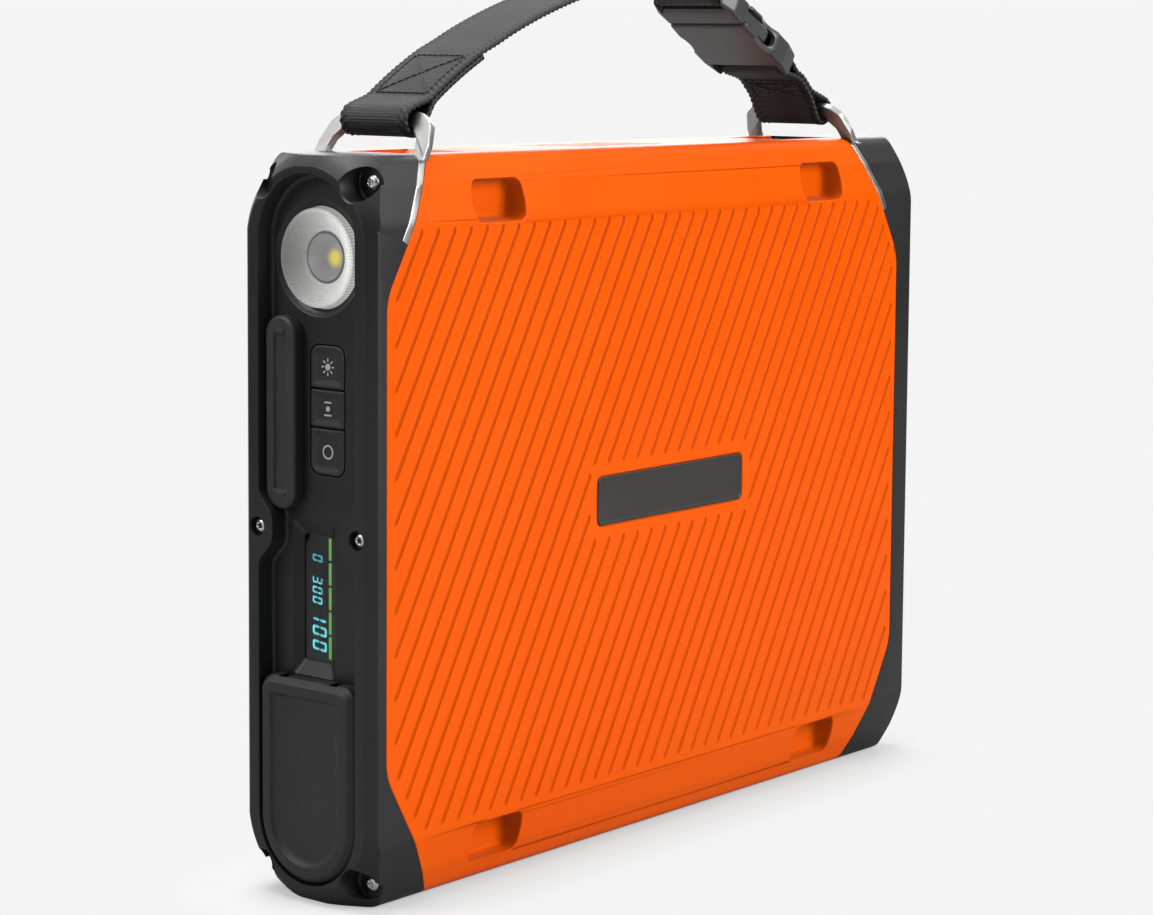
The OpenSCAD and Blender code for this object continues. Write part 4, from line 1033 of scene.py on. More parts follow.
keys = (("light_button", CUT_2 + 0.2, STRIP[3], [0.7, 0.7, 3.8, 3.8]),
        ("port_button", CUT_1 + 0.2, CUT_2 - 0.2, [0.7] * 4),
        ("outlet_button", STRIP[1], CUT_1 - 0.2, [3.8, 3.8, 0.7, 0.7]))
for node, z0, z1, radii in keys:
    key = painted(key_top(z0, z1, radii), button_rubber)
    middle = (z0 + z1) / 2
    if node == "light_button":
        signs = [raised(outline) for outline in [circle(SIGN_Y, middle, 1.1, 24)] + rays(middle)]
    elif node == "port_button":
        signs = [raised(rectangle(SIGN_Y - 1.6, middle + low, SIGN_Y + 1.6, middle + high))
                 for low, high in ((-2.4, -1.9), (1.9, 2.4))]
        signs.append(raised(circle(SIGN_Y, middle, 0.9, 24)))
    else:
        signs = [shaped(raised(circle(SIGN_Y, middle, 2.4, 32)),
                        [bar("x", circle(SIGN_Y, middle, 1.9, 32), DISH - 1, DISH + 1)])]
    key = joined([key] + [painted(sign, sign_white) for sign in signs], node + "_key")
    finished(key, node, [node])


# ---- Display ----
# A dark window of smoked acrylic, bonded behind the sloped opening. A reflective screen lies behind it with three
# plain readings in cyan bars and a gauge of five green blocks beside them.
smoked, tree, shader = new_material("smoked_acrylic_window", {"Base Color": colour("#6f7678"),
                                                              "Transmission Weight": 1.0, "IOR": 1.49})
feed(tree, shader, {"Roughness": ranged(tree, noise(tree, here(tree), 120.0, 3.0), 0.0, 1.0, 0.02, 0.08)})
PANE = (DISPLAY[0] + 1, DISPLAY[1] + 2.2, DISPLAY[2] - 0.4, DISPLAY[3] - 2.2)
pane = softened(bar("x", tile(*PANE, 1), BACK + 0.02, BACK + 1.2, "display_pane"), 0.15)
finished(pane, "pack", ["display_window"], smoked, 35)


def lit(name, code, strength):
    """A lit mark of the screen, a little uneven as its backlight is."""
    made, tree, shader = new_material(name, {"Emission Strength": strength})
    tone = mixed(tree, noise(tree, here(tree), 150.0), code, "#ffffff")
    tone = mixed(tree, 0.82, tone, code)
    feed(tree, shader, {"Emission Color": tone, "Base Color": tone})
    return made


def seven(digit, y, z, size, x, thick=0.25, lean=0.12):
    """Bars of a seven-bar numeral; it reads down the pack, with its head towards +Y."""
    w, h, t = size * 0.52, size, size * 0.13
    places = {"a": (w / 2, h - t / 2, 0), "d": (w / 2, t / 2, 0), "g": (w / 2, h / 2, 0),
              "f": (t / 2, h * 0.75, 1), "b": (w - t / 2, h * 0.75, 1),
              "e": (t / 2, h * 0.25, 1), "c": (w - t / 2, h * 0.25, 1)}
    bars = []
    for key in {"0": "abcdef", "1": "bc", "3": "abcdg"}[digit]:
        cx, cy, upright = places[key]
        long, wide = (h * 0.44, t) if upright else (w * 0.84, t)
        side = ((-long / 2, 0), (-long / 2 + wide / 2, -wide / 2), (long / 2 - wide / 2, -wide / 2), (long / 2, 0),
                (long / 2 - wide / 2, wide / 2), (-long / 2 + wide / 2, wide / 2))
        outline = []
        for p, q in side:
            across, up = (cx - q, cy + p) if upright else (cx + p, cy + q)
            outline.append((y - up, z - (across + lean * up)))
        bars.append(bar("x", outline, x - thick, x, "numeral"))
    return bars


screen_black = moulded("display_panel_black", "#0b0c0d", "#101213", 0.3, 0.4, 0.02, 8)
cyan, green = lit("cyan_screen_bars", "#6fe3ea", 1.5), lit("green_screen_blocks", "#9bdc62", 2.4)
face = BACK + 1.45
body = joined([bar("x", rectangle(*PANE), face, BACK + 4.2),
               bar("x", rectangle(*spread(PANE, 1)), BACK + 4.2, BACK + 5.8)])
painted(body, screen_black)
marks = []
for text, z, size, y in (("100", MID - 27.6, 6.4, 6.6), ("300", MID - 16.0, 4.4, 6.6), ("0", MID - 8.6, 4.4, 6.6)):
    for k, digit in enumerate(text):
        marks += [painted(mark, cyan) for mark in seven(digit, y, z - k * size * 0.78, size, face)]
for k in range(5):
    z = VIEW[1] + 1.2 + k * 8.35
    marks.append(painted(bar("x", rectangle(-1.9, z, -0.8, z + 7.4), face - 0.2, face, "gauge"), green))
finished(joined([body] + marks, "display_screen"), "pack", ["display_module"], None, 35)


# ---- Port cover and sockets ----
# A rubber-faced cover over the row of low-voltage sockets, hinged along its rear edge. A long channel is sunk in
# its face, with a finger bar across each end. The sockets behind it sit in one black block, with steel shells.
cover_rubber = moulded("black_cover_elastomer", "#1d1d1e", "#232324", 0.5, 0.4, 0.12, 20)
port_cover_rubber = moulded("grey_black_cover_elastomer", "#29292a", "#2f2f30", 0.5, 0.4, 0.12, 20)
socket_black = moulded("socket_block_nylon", "#1f2021", "#252627", 0.45, 0.4, 0.08, 12)
pin_steel = metal("drawn_steel_pin", "#a9a9a6", "#b9b9b6", 0.3, 4.0, 0.1)
tin = metal("tin_plated_steel_shell", "#c4c4c0", "#d6d6d2", 0.28, 3.0)


def relief(pin, top, deep):
    """What is cut from the back of a cover, so that it clears the panel as it swings about its pin."""
    return [(FLOOR + 0.1, pin[1]), (FLOOR + 0.1, top + 1), (FLOOR - deep, top + 1), (FLOOR - deep, top),
            (FLOOR - 0.12, pin[1])]


def hinge_pin(name, axis, centre, start, end):
    """A steel pin with rounded ends."""
    half = [(0, 0), (0.05, 0.55), (0.3, 0.67)]
    return turned(name, [(start + t, r) for t, r in half] + [(end - t, r) for t, r in half[::-1]], centre, axis, 20)


face = FLOOR - 4.5
steps = ((FLOOR - 0.02, 0.05), (FLOOR - 1.2, 0), (face + 1.1, 0), (face + 0.45, 0.25), (face + 0.1, 0.7), (face, 1.2))
cover = layered("x", stadium(*COVER, 14), steps, "port_cover_pad")
channel = tile(*spread(COVER, -3.9, -6.2), 0.6)
rooms = [bar("x", rectangle(PORT_PIN[1] - 1.5, z - 1.7, COVER[2] + 1, z + 1.7), face + 1.0, FLOOR + 1)
         for z in PORT_LUGS]
shaped(cover, [layered("x", channel, ((face - 1, -0.5), (face, -0.1), (face + 1.0, 0.35))),
               bar("z", relief(PORT_PIN, COVER[2], 1.6), COVER[1] - 1, COVER[3] + 1), joined(rooms),
               bar("z", circle(*PORT_PIN, PIN_HOLE, 20), MID + 24, MID + 54)])
ends = [bar("x", tile(COVER[0] + 4.4, z - 0.7, COVER[2] - 4.4, z + 0.7, 0.6), face - 0.35, face + 0.6)
        for z in (COVER[1] + 5.2, COVER[3] - 5.2)]
softened(cover, 0.22)
shaped(cover, [joined([softened(end, 0.25) for end in ends])], "UNION")
finished(cover, "port_cover", ["port_cover"], port_cover_rubber)

middle = (COVER[0] + COVER[2]) / 2
SOCKETS = ((COVER[3] - 8, 4.5, 1.6), (COVER[3] - 20.5, 4.5, 1.6), (COVER[3] - 35, 6.6, 2.9))
JACK = (middle, COVER[3] - 53.5)


def socket(z, h, w, radius):
    """Outline of a socket, from its height in the pack, half height, half width and corner radius."""
    return tile(middle - w, z - h, middle + w, z + h, radius)


edge = stadium(*spread(COVER, -1.5, -1.7))
block = layered("x", edge, ((FLOOR + 1, 0.3), (FLOOR + 1.3, 0), (BACK + 14, 0)), "port_block_body")
shaped(block, [bar("x", rectangle(COVER[0] - 0.6, COVER[1] - 1, COVER[2] + 0.8, COVER[3] + 1), BACK, BACK + 2)],
       "UNION")
shaped(block, [bar("x", socket(z, h, w, 1.2), FLOOR, FLOOR + 9) for z, h, w in SOCKETS]
       + [bar("x", circle(*JACK, 3.8), FLOOR, FLOOR + 9)])
softened(block, 0.2)
finished(block, "pack", ["port_block"], socket_black)

shells = []
for z, h, w in SOCKETS:
    shell = bar("x", socket(z, h, w, 1.2), FLOOR + 1, FLOOR + 9, "socket_shell")
    shaped(shell, [bar("x", tile(middle - w + 0.4, z - h + 0.4, middle + w - 0.4, z + h - 0.4, 0.8), FLOOR,
                       FLOOR + 8.5)])
    tongue = rectangle(middle - 0.35, z - h + 1.4, middle + 0.35, z + h - 1.4)
    shells += [shell, bar("x", tongue, FLOOR + 2.5, FLOOR + 8.6)]
profile = [(FLOOR + 2.5, 0), (FLOOR + 2.55, 0.6), (FLOOR + 2.9, 1.0), (FLOOR + 9, 1.0), (FLOOR + 9, 0)]
shells.append(turned("jack_pin", profile, JACK, n=20))
finished(joined(shells, "socket_shells"), "pack", ["port_shells"], tin, 35)
pin = hinge_pin("port_hinge_pin", "z", PORT_PIN, MID + 24.9, MID + 53.1)
finished(pin, "pack", ["port_cover_pin"], pin_steel, 35)


# ---- Outlet cover and socket ----
# A thick elastomer flap over the mains outlet, hinged along its top edge. A broad chamfer runs round it, then a flat
# ring, and its middle is sunk with a soft slope. The outlet behind has two slots and an earth hole.
def flap(d):
    """Outline of the flap, moved in by d."""
    r = 21.5 - d
    return tile(-r, 28 - r, r, OUTLET_TOP - d, [r - 0.002, r - 0.002, max(1.5, 6 - d), max(1.5, 6 - d)], 24)


face = -END - 1
steps = ((FLOOR - 0.02, 0.05), (FLOOR - 1, 0), (face + 2.5, 0), (face + 2.1, 0.15), (face + 0.35, 1.9), (face, 2.6),
         (face, 5.6), (face + 0.6, 6.0), (face + 1.3, 6.8), (face + 1.7, 8.2), (face + 1.9, 10.5))
outlet_cover = stacked("x", [(x, flap(d)) for x, d in steps], "outlet_cover_flap")
rooms = [bar("x", rectangle(y - 1.8, OUTLET_PIN[1] - 1.6, y + 1.8, OUTLET_TOP + 1), OUTLET_PIN[0] - 1.5, FLOOR + 1)
         for y in OUTLET_LUGS]
shaped(outlet_cover, [bar("y", relief(OUTLET_PIN, OUTLET_TOP, 1.3), -30, 30), joined(rooms),
                      bar("x", tile(-15.5, 15.5, 15.5, OUTLET_PIN[1] - 5, 3), FLOOR - 1.5, FLOOR + 1),
                      bar("y", circle(*OUTLET_PIN, PIN_HOLE, 20), -15.5, 15.5)])
finished(outlet_cover, "outlet_cover", ["outlet_cover"], cover_rubber, 30)

edge = tile(-16.3, 14.7, 16.3, OUTLET_TOP - 8.2, 3.8)
outlet = layered("x", edge, ((FLOOR + 1, 0.4), (FLOOR + 1.4, 0), (BACK + 0.01, 0)), "outlet_body")
shaped(outlet, [joined([bar("x", rectangle(-19, 12, 19, OUTLET_TOP - 5.5), BACK, BACK + 2.5),
                        bar("x", rectangle(*OUTLET), BACK + 2.5, BACK + 28)])], "UNION")
middle = (OUTLET[1] + OUTLET_TOP - 8) / 2
holes = [bar("x", tile(y - 1.1, middle - 1, y + 1.1, middle + 7.5, 0.5), FLOOR, FLOOR + 18) for y in (-6.35, 6.35)]
holes.append(bar("x", circle(0, middle - 8, 2.6, 28), FLOOR, FLOOR + 18))
shaped(outlet, [joined(holes)])
softened(outlet, 0.25)
finished(outlet, "pack", ["outlet_socket"], socket_black)
pin = hinge_pin("outlet_hinge_pin", "y", OUTLET_PIN, -13.9, 13.9)
finished(pin, "pack", ["outlet_cover_pin"], pin_steel, 35)


# ---- Carrying strap ----
# Two lengths of 30 mm polyester webbing, woven in cross ribs between braided edges. Each is one ribbon that turns
# back round a bar at both ends. The seams that show are a crossed box on each, and a zigzag row by the buckle.
STRAP_W, STRAP_T = 30.0, 1.7
BAR_L, BAR_R = Vector((-122.7, 0, HEIGHT + 10.75)), Vector((115.9, 0, HEIGHT + 10.75))
BUCKLE_AT, BUCKLE_DIP = Vector((46, 0, HEIGHT + 56)), math.radians(31.3)
RING_LOOP, BAR_LOOP = 4.7, 3.3
ROW, BRAID_ROW = 0.9, 2.4
STEP = 0.3


def along(s):
    """A point on the buckle's middle line, by its distance along the buckle."""
    return BUCKLE_AT + Vector((s * math.cos(BUCKLE_DIP), 0, -s * math.sin(BUCKLE_DIP)))


def flowing(points):
    """Points at an even pitch along a smooth line through the given ones."""
    ends = [points[0] * 2 - points[1]] + points + [points[-1] * 2 - points[-2]]
    dense = []
    for a, b, c, d in zip(ends, ends[1:], ends[2:], ends[3:]):
        dense += [0.5 * (2 * b + (c - a) * t + (2 * a - 5 * b + 4 * c - d) * t * t + (3 * b - a - 3 * c + d) * t ** 3)
                  for t in (k / 24 for k in range(24))]
    return spaced(dense + [points[-1]])


def spaced(points):
    """The same line with its points an even distance apart."""
    out, left = [points[0]], STEP
    for a, b in zip(points, points[1:]):
        run = (b - a).length
        while run >= left and run > 0:
            a = a + (b - a) * (left / run)
            out.append(a)
            run = (b - a).length
            left = STEP
        left -= run
    return out


def normal_at(line, i):
    way = line[min(i + 1, len(line) - 1)] - line[max(i - 1, 0)]
    return Vector((-way.z, 0, way.x)).normalized()


def turned_back(points, loops, tails, doubled):
    """Middle line of a ribbon that lies along the points and turns back round both end bars; and where its top
    starts."""
    top = flowing(points)
    count = len(top)
    starts = [int((radius * 2.15 + 1.2) / STEP) for radius in loops]
    half_gap = STRAP_T / 2 + 0.02

    def lift(i):
        near, far = i * STEP - doubled[0], (count - 1 - i) * STEP - doubled[1]
        ease = max(0.0, min(1.0, min(near, far) / 14))
        return half_gap * (1 - ease * ease * (3 - 2 * ease))

    def turn(centre, ahead, radius):
        ahead = (ahead - centre).normalized()
        up = Vector((-ahead.z, 0, ahead.x))
        up = up if up.z > 0 else -up
        angles = [math.radians(70 + 220 * k / 24) for k in range(25)]
        return [centre + radius * (math.cos(a) * ahead + math.sin(a) * up) for a in angles]

    def under(i):
        return top[i] - normal_at(top, i) * half_gap

    upper = [top[i] + normal_at(top, i) * lift(i) for i in range(starts[0], count - starts[1])]
    first = [under(i) for i in range(starts[0], int(tails[0] / STEP))]
    last = [under(count - 1 - i) for i in range(starts[1], int(tails[1] / STEP))]
    loop_in = turn(points[0], top[starts[0]], loops[0])[::-1]
    loop_out = turn(points[-1], top[count - 1 - starts[1]], loops[1])
    line = spaced(first[::-1] + loop_in + upper + loop_out + last)
    for _ in range(24):
        line = [line[0]] + [(a + 2 * b + c) / 4 for a, b, c in zip(line, line[1:], line[2:])] + [line[-1]]
    start = min(range(len(line)), key=lambda i: (line[i] - upper[0]).length)
    return spaced(line), start


def webbing(name, line):
    """The ribbon itself, ribbed across, with thicker edges; each point keeps its place in the weave."""
    half = STRAP_W / 2
    across = [(half, 0), (half - 0.12, 0.45), (half - 0.5, 0.74)]
    across += [(half - 1.2 - k * 0.65, 0.80) for k in range(4)]
    across += [(half - 3.6 - k * (STRAP_W - 7.2) / 3, 0.80) for k in range(4)]
    across += [(-half + 3.15 - k * 0.65, 0.80) for k in range(4)]
    across += [(-half + 0.5, 0.74), (-half + 0.12, 0.45), (-half, 0)]
    section = across + [(y, -h) for y, h in across[-2:0:-1]]
    n = len(section)
    points, faces, places = [], [], []
    for i, at in enumerate(line):
        s = i * STEP
        up = normal_at(line, i)
        for y, h in section:
            if abs(y) > half - 3.2:
                rise = 0.2 * math.sin(math.tau * s / BRAID_ROW + abs(y) * 2.2) + 0.14
            else:
                rise = 0.08 * math.sin(math.tau * s / ROW)
            rise *= 1 if h > 0.1 else -1 if h < -0.1 else 0
            side = 0.16 * math.sin(math.tau * s / BRAID_ROW) if abs(y) > half - 0.2 else 0
            points.append(at + up * (h + rise) + Vector((0, y + side, 0)))
            places.append((y * MM, s * MM, h * MM))
    last = (len(line) - 1) * n
    for i in range(0, last, n):
        faces += [(i + k, i + (k + 1) % n, i + n + (k + 1) % n, i + n + k) for k in range(n)]
    for k in range(n // 2 - 1):
        faces += [(k, k + 1, n - 2 - k, n - 1 - k), (last + n - 1 - k, last + n - 2 - k, last + k + 1, last + k)]
    data = bpy.data.meshes.new(name)
    data.from_pydata([p * MM for p in points], [], faces)
    weave = data.attributes.new("weave", "FLOAT_VECTOR", "POINT")
    weave.data.foreach_set("vector", [c for place in places for c in place])
    with Edit(data) as work:
        bmesh.ops.dissolve_degenerate(work, edges=work.edges, dist=1e-7)
        bmesh.ops.recalc_face_normals(work, faces=work.faces)
    return placed(name, data)


def woven(name, shade, light, sheen):
    """Webbing of dark filament yarn: the crests of its ribs are painted lighter, a painted highlight, and its braided
    edges are painted near black, partly for their closer braid and partly as painted shade.
    """
    made, tree, shader = new_material(name, {"Roughness": 0.58, "Sheen Weight": sheen, "Sheen Roughness": 0.35})
    place = add(tree, "ShaderNodeAttribute", attribute_name="weave").outputs["Vector"]
    part = add(tree, "ShaderNodeSeparateXYZ", {0: place}).outputs
    cord = calc(tree, "SINE", calc(tree, "MULTIPLY", part[0], math.tau / (1.6 * MM)))
    row = calc(tree, "MULTIPLY_ADD", part[1], math.tau / (ROW * MM), calc(tree, "MULTIPLY", cord, 0.5))
    both = calc(tree, "ADD", calc(tree, "SINE", row), calc(tree, "MULTIPLY", cord, 0.35))
    fuzz = noise(tree, place, 1 / (0.35 * MM))
    rough = calc(tree, "MULTIPLY_ADD", both, 0.22, fuzz)
    # painted highlight: the rib crests are painted lighter than the valleys between them
    tone = mixed(tree, ranged(tree, rough, 0.1, 0.9), shade, light)
    # the braided edges painted near black: partly their closer braid, partly painted shade where the edges turn from
    # the light
    side = calc(tree, "GREATER_THAN", calc(tree, "ABSOLUTE", part[0]), (STRAP_W / 2 - 3.3) * MM)
    feed(tree, shader, {"Base Color": mixed(tree, side, tone, "#080808"),
                        "Normal": bumped(tree, rough, 0.5, 0.12 * MM)})
    return made


polyester = woven("black_polyester_webbing", "#0d0d0e", "#2a2a2b", 0.12)
thread_black = woven("bonded_nylon_thread", "#1a1a1b", "#3c3c3d", 0.12)

thread_tree, given = new_tree("sewn_stitches", {"Thread Radius": "Float", "Yarn": "Material"})
tree = thread_tree
path = add(tree, "GeometryNodeMeshToCurve", {"Mesh": given["Geometry"]})
yarn = add(tree, "GeometryNodeCurvePrimitiveCircle", {"Resolution": 6, "Radius": given["Thread Radius"]})
sewn = add(tree, "GeometryNodeCurveToMesh", {"Curve": path, "Profile Curve": yarn, "Fill Caps": True})
sewn = add(tree, "GeometryNodeRealizeInstances", {0: sewn})
sewn = add(tree, "GeometryNodeSetMaterial", {"Geometry": sewn, "Material": given["Yarn"]})
add(tree, "NodeGroupOutput", {0: sewn})


def stitched(line, start, runs, layers=0, length=2.5):
    """Stitches along each run, given from and to in distance from the top's start and across the webbing. They lie
    on the top, or under a number of layers."""
    points, edges = [], []
    for (s0, y0), (s1, y1) in runs:
        count = max(1, round(math.hypot(s1 - s0, y1 - y0) / length))
        for k in range(count):
            for t, h in ((0.06, -0.3), (0.16, 0.12), (0.5, 0.24), (0.84, 0.12), (0.94, -0.3)):
                f = (k + t) / count
                i = max(0, min(len(line) - 1, start + round((s0 + (s1 - s0) * f) / STEP)))
                lift = STRAP_T / 2 + 0.06 + h if layers == 0 else -(STRAP_T * (layers - 0.5) + 0.1 + h)
                points.append((line[i] + normal_at(line, i) * lift + Vector((0, y0 + (y1 - y0) * f, 0))) * MM)
            edges += [(len(points) - 5 + j, len(points) - 4 + j) for j in range(4)]
    return grown("stitches", points, edges, thread_tree, {"Thread Radius": 0.3 * MM, "Yarn": thread_black})


def crossed_box(s0, s1, y=11.5):
    corners = [(s0, -y), (s1, -y), (s1, y), (s0, y)]
    return [(corners[k], corners[(k + 1) % 4]) for k in range(4)] + [((s0, -y), (s1, y)), ((s0, y), (s1, -y))]


def zigzag(s, y=12.5, teeth=14, deep=2.2):
    steps = [(s + (k % 2) * deep, -y + 2 * y * k / teeth) for k in range(teeth + 1)]
    return list(zip(steps, steps[1:]))


def sewn_up(name, node, line, seams):
    """A length of webbing with its seams, in the place of its CAD node."""
    strap = joined([painted(webbing(name, line), polyester)] + seams, name)
    strap.data.shade_smooth()
    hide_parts(node)
    return strap


arch = ((-112, 19), (-101, 26), (-90, 32), (-76, 39), (-61, 45), (-46, 50), (-30, 54.5), (-14, 58), (4, 60.5),
        (20, 61.5), (34, 60))
long_way = [BAR_L] + [Vector((x, 0, HEIGHT + h)) for x, h in arch] + [along(2)]
line, start = turned_back(long_way, (RING_LOOP, BAR_LOOP), (41, 24), (38, 22))
strap = sewn_up("strap_long_webbing", "strap_long", line, [stitched(line, start, crossed_box(1, 25))])
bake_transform(strap)

short_way = [along(52), along(58.5), Vector((101, 0, HEIGHT + 23.5)), Vector((106.5, 0, HEIGHT + 18.5)), BAR_R]
line, start = turned_back(short_way, (BAR_LOOP, RING_LOOP), (17, 17), (90, 90))
seam = zigzag(1.0) + crossed_box(5.5, 13)
strap = sewn_up("strap_short_webbing", "strap_short", line,
                [stitched(line, start, seam), stitched(line, start, seam, 2)])
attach(strap, "pack")


# ---- Side-release buckle ----
# Two halves moulded in satin acetal. The plug half carries two sprung prongs, whose round pads show through the
# scallops in the sides of the socket half; each half has a round bar for the webbing behind a sloping lip.
acetal = moulded("satin_acetal_moulded", "#464647", "#4d4d4e", 0.32, 0.4, 0.05, 25)
SLOT = 15.6


def in_buckle(item):
    """Moves a piece made along X from the origin to the buckle's place."""
    item.data.transform(Matrix.Translation(BUCKLE_AT * MM) @ Matrix.Rotation(BUCKLE_DIP, 4, "Y"))
    return item


def rolled(axis, outline, half, edge, name="cutter"):
    """A flat moulding whose edge rolls over alike at both faces; the edge gives depth below a face, and inset."""
    steps = [(-half + t, d) for t, d in edge] + [(half - t, d) for t, d in edge[::-1]]
    return layered(axis, outline, steps, name)


def pillow(outline, half, name):
    return rolled("z", outline, half, ((0, 1.5), (0.2, 0.85), (0.6, 0.35), (1.3, 0.05)), name)


def bar_room(s, way):
    """What is cut away round a webbing bar: a ring about it, the slot behind it and its open sides."""
    wrap = shaped(bar("y", circle(s, 0, 4.45, 40), -SLOT, SLOT), [bar("y", circle(s, 0, 2.25, 32), -20, 20)])
    slot = sorted((s - way * 1.9, s - way * 4.5))
    outer = sorted((s - way * 2.3, s + way * 6))
    cuts = [wrap, bar("z", tile(slot[0], -SLOT, slot[1], SLOT, 0.6), -7, 7)]
    for m in (-1, 1):
        cuts.append(bar("z", rectangle(outer[0], -SLOT, outer[1], SLOT), *sorted((m * 2.25, m * 7))))
        lip = [(s - way * 8.0, m * 5.3), (s - way * 4.4, m * 3.4), (s - way * 4.0, m * 7), (s - way * 8.0, m * 7)]
        cuts.append(bar("y", lip, -SLOT, SLOT))
    return cuts


outline = [(16.3, -18), (30, -19), (44, -19), (53.6, -16.5), (53.6, 16.5), (44, 19), (30, 19), (16.3, 18)]
female = pillow(rounded(outline, [1.6, 8, 6, 3, 3, 6, 8, 1.6], 8), 5.0, "buckle_socket_half")
cuts = [bar("x", tile(-16.2, -3.2, 16.2, 3.2, 1.0), 15, 43),
        stacked("x", [(15, tile(-17.0, -4.0, 17.0, 4.0, 1.4)), (16.35, tile(-16.9, -3.9, 16.9, 3.9, 1.4)),
                      (17.1, tile(-16.2, -3.2, 16.2, 3.2, 1.0))])]
for m in (-1, 1):
    cuts.append(bar("y", tile(12, -3.1, 35.8, 3.1, 2.6), *sorted((m * 13, m * 21))))
    scallop = [(30 + 7.6 * math.cos(a), m * 21.4 + 4.6 * math.sin(a)) for a in turns(48)]
    cuts.append(rolled("z", scallop, 6, ((0, -1.0), (1.8, -0.3), (2.8, 0))))
shaped(female, cuts + bar_room(52, 1))
finished(in_buckle(female), "pack", ["buckle_female"], acetal, 34)

outline = [(0.4, -16), (8, -18.4), (16, -17.8), (16, 17.8), (8, 18.4), (0.4, 16)]
male = pillow(rounded(outline, [2.5, 5, 0.8, 0.8, 5, 2.5], 8), 4.6, "buckle_plug_half")
prongs = []
for m in (-1, 1):
    arm = [(14.5, m * 9.5), (24, m * 12.2), (34, m * 11), (36, m * 12.5), (33, m * 15.6), (24, m * 15.6),
           (14.5, m * 14.6)]
    arm = rounded(arm[::m], [0.4, 4, 1.0, 1.4, 2.5, 6, 0.4][::m], 5)
    thumb = [(14.5, m * 12.4), (26, m * 12.4), (33.4, m * 11.6), (33.4, m * 16.2), (30, m * 18.2), (14.5, m * 17.0)]
    thumb = rounded(thumb[::m], [0.4, 3, 2, 2.2, 5, 0.4][::m], 6)
    pad = ((-2.8, 1.3), (-2.5, 0.7), (-1.6, 0.15), (0, 0), (1.6, 0.15), (2.5, 0.7), (2.8, 1.3))
    prongs += [rolled("z", arm, 2.7, ((0, 0.4), (0.4, 0))), layered("z", thumb, pad)]
tongue = [(14.5, -3.5), (28, -3.5), (31, -2.0), (31, 2.0), (28, 3.5), (14.5, 3.5)]
prongs.append(rolled("z", rounded(tongue, [0.4, 2, 1.5, 1.5, 2, 0.4], 4), 2.4, ((0, 0.3), (0.3, 0))))
shaped(male, prongs, "UNION")
shaped(male, bar_room(2, -1))
finished(in_buckle(male), "buckle_half", ["buckle_male"], acetal, 34)


# ---- Cells and their holders ----
# Forty-two round lithium cells, 18.3 mm across, in printed film sleeves. They stand in three tiers between moulded
# nylon holders, with nickel sheets welded over their ends, in a cradle lined with foam pads.
def carried(material, *nodes):
    """CAD nodes that are shown as they are, in a finish of their own."""
    for node in nodes:
        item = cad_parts[node]
        if not item.material_slots:
            item.data.materials.append(material)
        for place in item.material_slots:
            place.material = material


# shrink film over steel: clear gloss over a flat blue, slightly rippled where it shrank
cell_film = moulded("blue_shrink_film", "#2c5f93", "#336aa0", 0.24, 2.0, 0.05, 10)
holder_nylon = moulded("black_holder_nylon", "#222223", "#28282a", 0.52, 0.5, 0.12, 30)
# cold-rolled nickel strip: soft gloss, with fine lines along it
nickel_strip = metal("rolled_nickel_strip", "#c3c2ba", "#d0cfc8", 0.3, 5.0, 0.06)
# closed-cell foam: dull, with open pores on its cut faces
foam_grey = moulded("grey_polyethylene_foam", "#4c4e50", "#56585b", 0.9, 0.8, 0.5, 8)
carried(cell_film, "battery_cells")
carried(holder_nylon, "cell_holders", "battery_cradle", "fan_frame")
carried(nickel_strip, "busbar_sheets")
carried(foam_grey, "battery_pads")


# ---- Circuit boards ----
# Glass-epoxy boards under a green solder mask: one on the cells, one for the inverter, one behind the buttons.
# Steel screws hold them to posts.
def circuit(name, mask, line, pitch):
    """Solder mask over copper: the tracks show as a slightly lighter pattern of straight runs and pads."""
    made, tree, shader = new_material(name, {"Roughness": 0.3, "Coat Weight": 0.3})
    place, dark = here(tree), colour(mask)
    tracks = add(tree, "ShaderNodeTexBrick", {"Vector": place, "Scale": 1.0, "Mortar Size": 0.08,
                                              "Brick Width": pitch * 3, "Row Height": pitch,
                                              "Color1": dark, "Color2": dark, "Mortar": colour(line)})
    pads = add(tree, "ShaderNodeTexVoronoi", {"Vector": place, "Scale": 1 / (pitch * 2)})
    solder = calc(tree, "LESS_THAN", pads.outputs["Distance"], 0.13)
    feed(tree, shader, {"Base Color": mixed(tree, solder, tracks.outputs["Color"], "#b9bab4"), "Metallic": solder,
                        "Normal": bumped(tree, tracks.outputs["Fac"], 0.3, 0.04 * MM)})
    return made


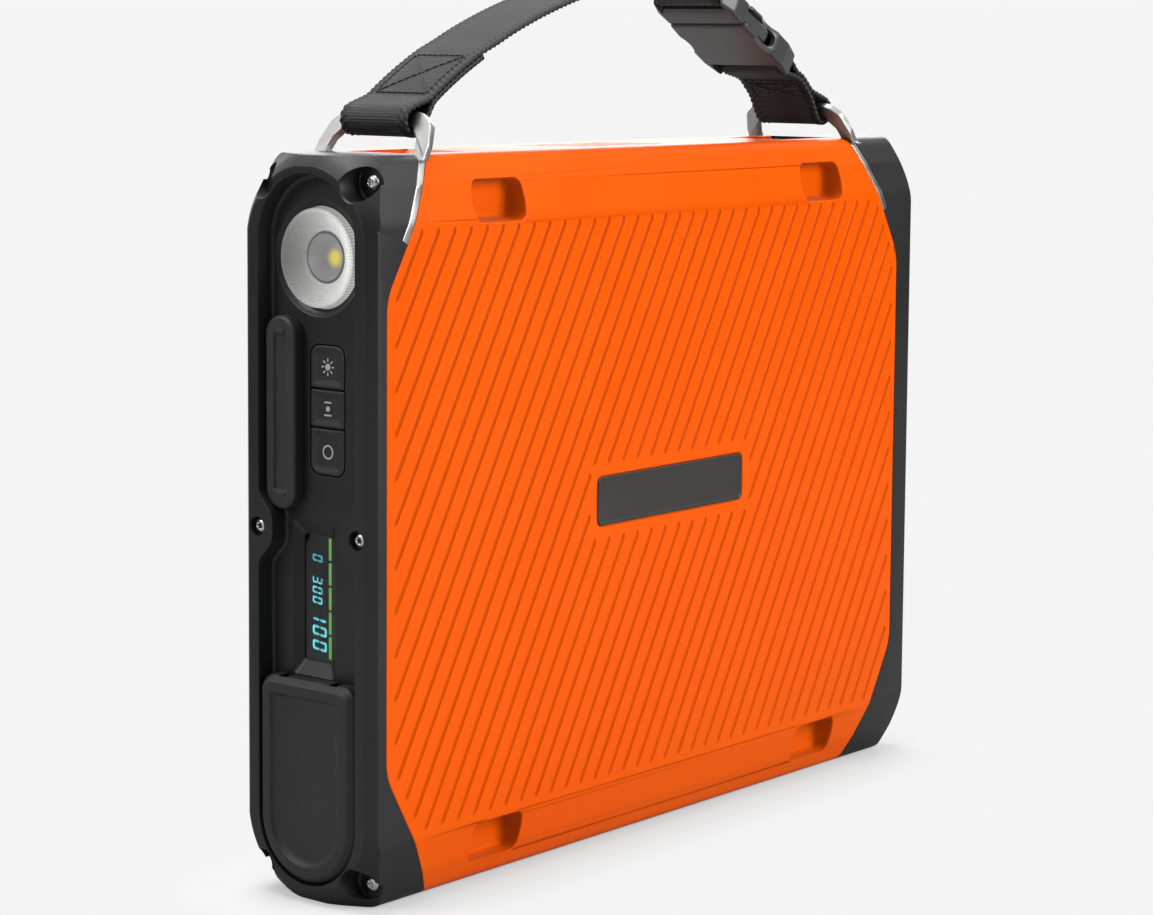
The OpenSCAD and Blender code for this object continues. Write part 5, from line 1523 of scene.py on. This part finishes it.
green_board = circuit("green_solder_mask_board", "#0f4a2a", "#1d6a40", 1.6 * MM)
carried(green_board, "battery_board", "inverter_board", "button_board")
carried(pin_steel, "board_screws", "fan_screws")


# ---- Inverter parts ----
# Extruded aluminium fins with the power transistors clipped on, a ferrite transformer and choke wound with enamelled
# copper wire, and a row of can capacitors in printed sleeves.
extruded = metal("extruded_aluminium", "#a9abad", "#b7b9ba", 0.38, 20.0, 0.12)
# moulded epoxy: dull black and slightly pitted
epoxy = moulded("black_moulded_epoxy", "#161617", "#1d1d1e", 0.6, 0.2, 0.15, 4)
# sintered ferrite: dark grey, matt and sandy
ferrite = moulded("sintered_ferrite", "#2d2c2e", "#38373a", 0.7, 0.3, 0.3, 5)
sleeve_film = moulded("capacitor_film_sleeve", "#1d2f4a", "#24395a", 0.3, 1.5, 0.05, 6)
# enamelled copper: close turns of round wire that catch the light in rows
wound_copper = metal("enamelled_copper_wire", "#9c5a2c", "#b26d38", 0.3, 3.0, 0.04)
tree = wound_copper.node_tree
wire = add(tree, "ShaderNodeTexWave", {"Vector": here(tree), "Scale": 1 / (3.2 * MM)}, bands_direction="Z")
rise = bumped(tree, wire.outputs["Fac"], 0.8, 0.2 * MM)
feed(tree, tree.nodes["Principled BSDF"], {"Normal": rise})
carried(extruded, "heat_sink")
carried(epoxy, "power_transistors")
carried(ferrite, "transformer_core")
carried(wound_copper, "transformer_winding", "choke")
carried(sleeve_film, "capacitors")


# ---- Fan and leads ----
# A 40 mm axial fan under the vents, moulded in glass-filled polyester, and silicone-covered copper leads from the
# cells to the inverter and from there to the outlet.
fan_plastic = moulded("fan_glass_filled_polyester", "#1b1b1c", "#232324", 0.45, 0.5, 0.15, 15)
red_silicone = moulded("red_silicone_lead", "#9a1a1c", "#a82022", 0.5, 0.5, 0.06, 12)
black_silicone = moulded("black_silicone_lead", "#1a1b1d", "#222325", 0.5, 0.5, 0.06, 12)
carried(fan_plastic, "fan_rotor")
carried(red_silicone, "battery_leads")
carried(black_silicone, "outlet_leads")
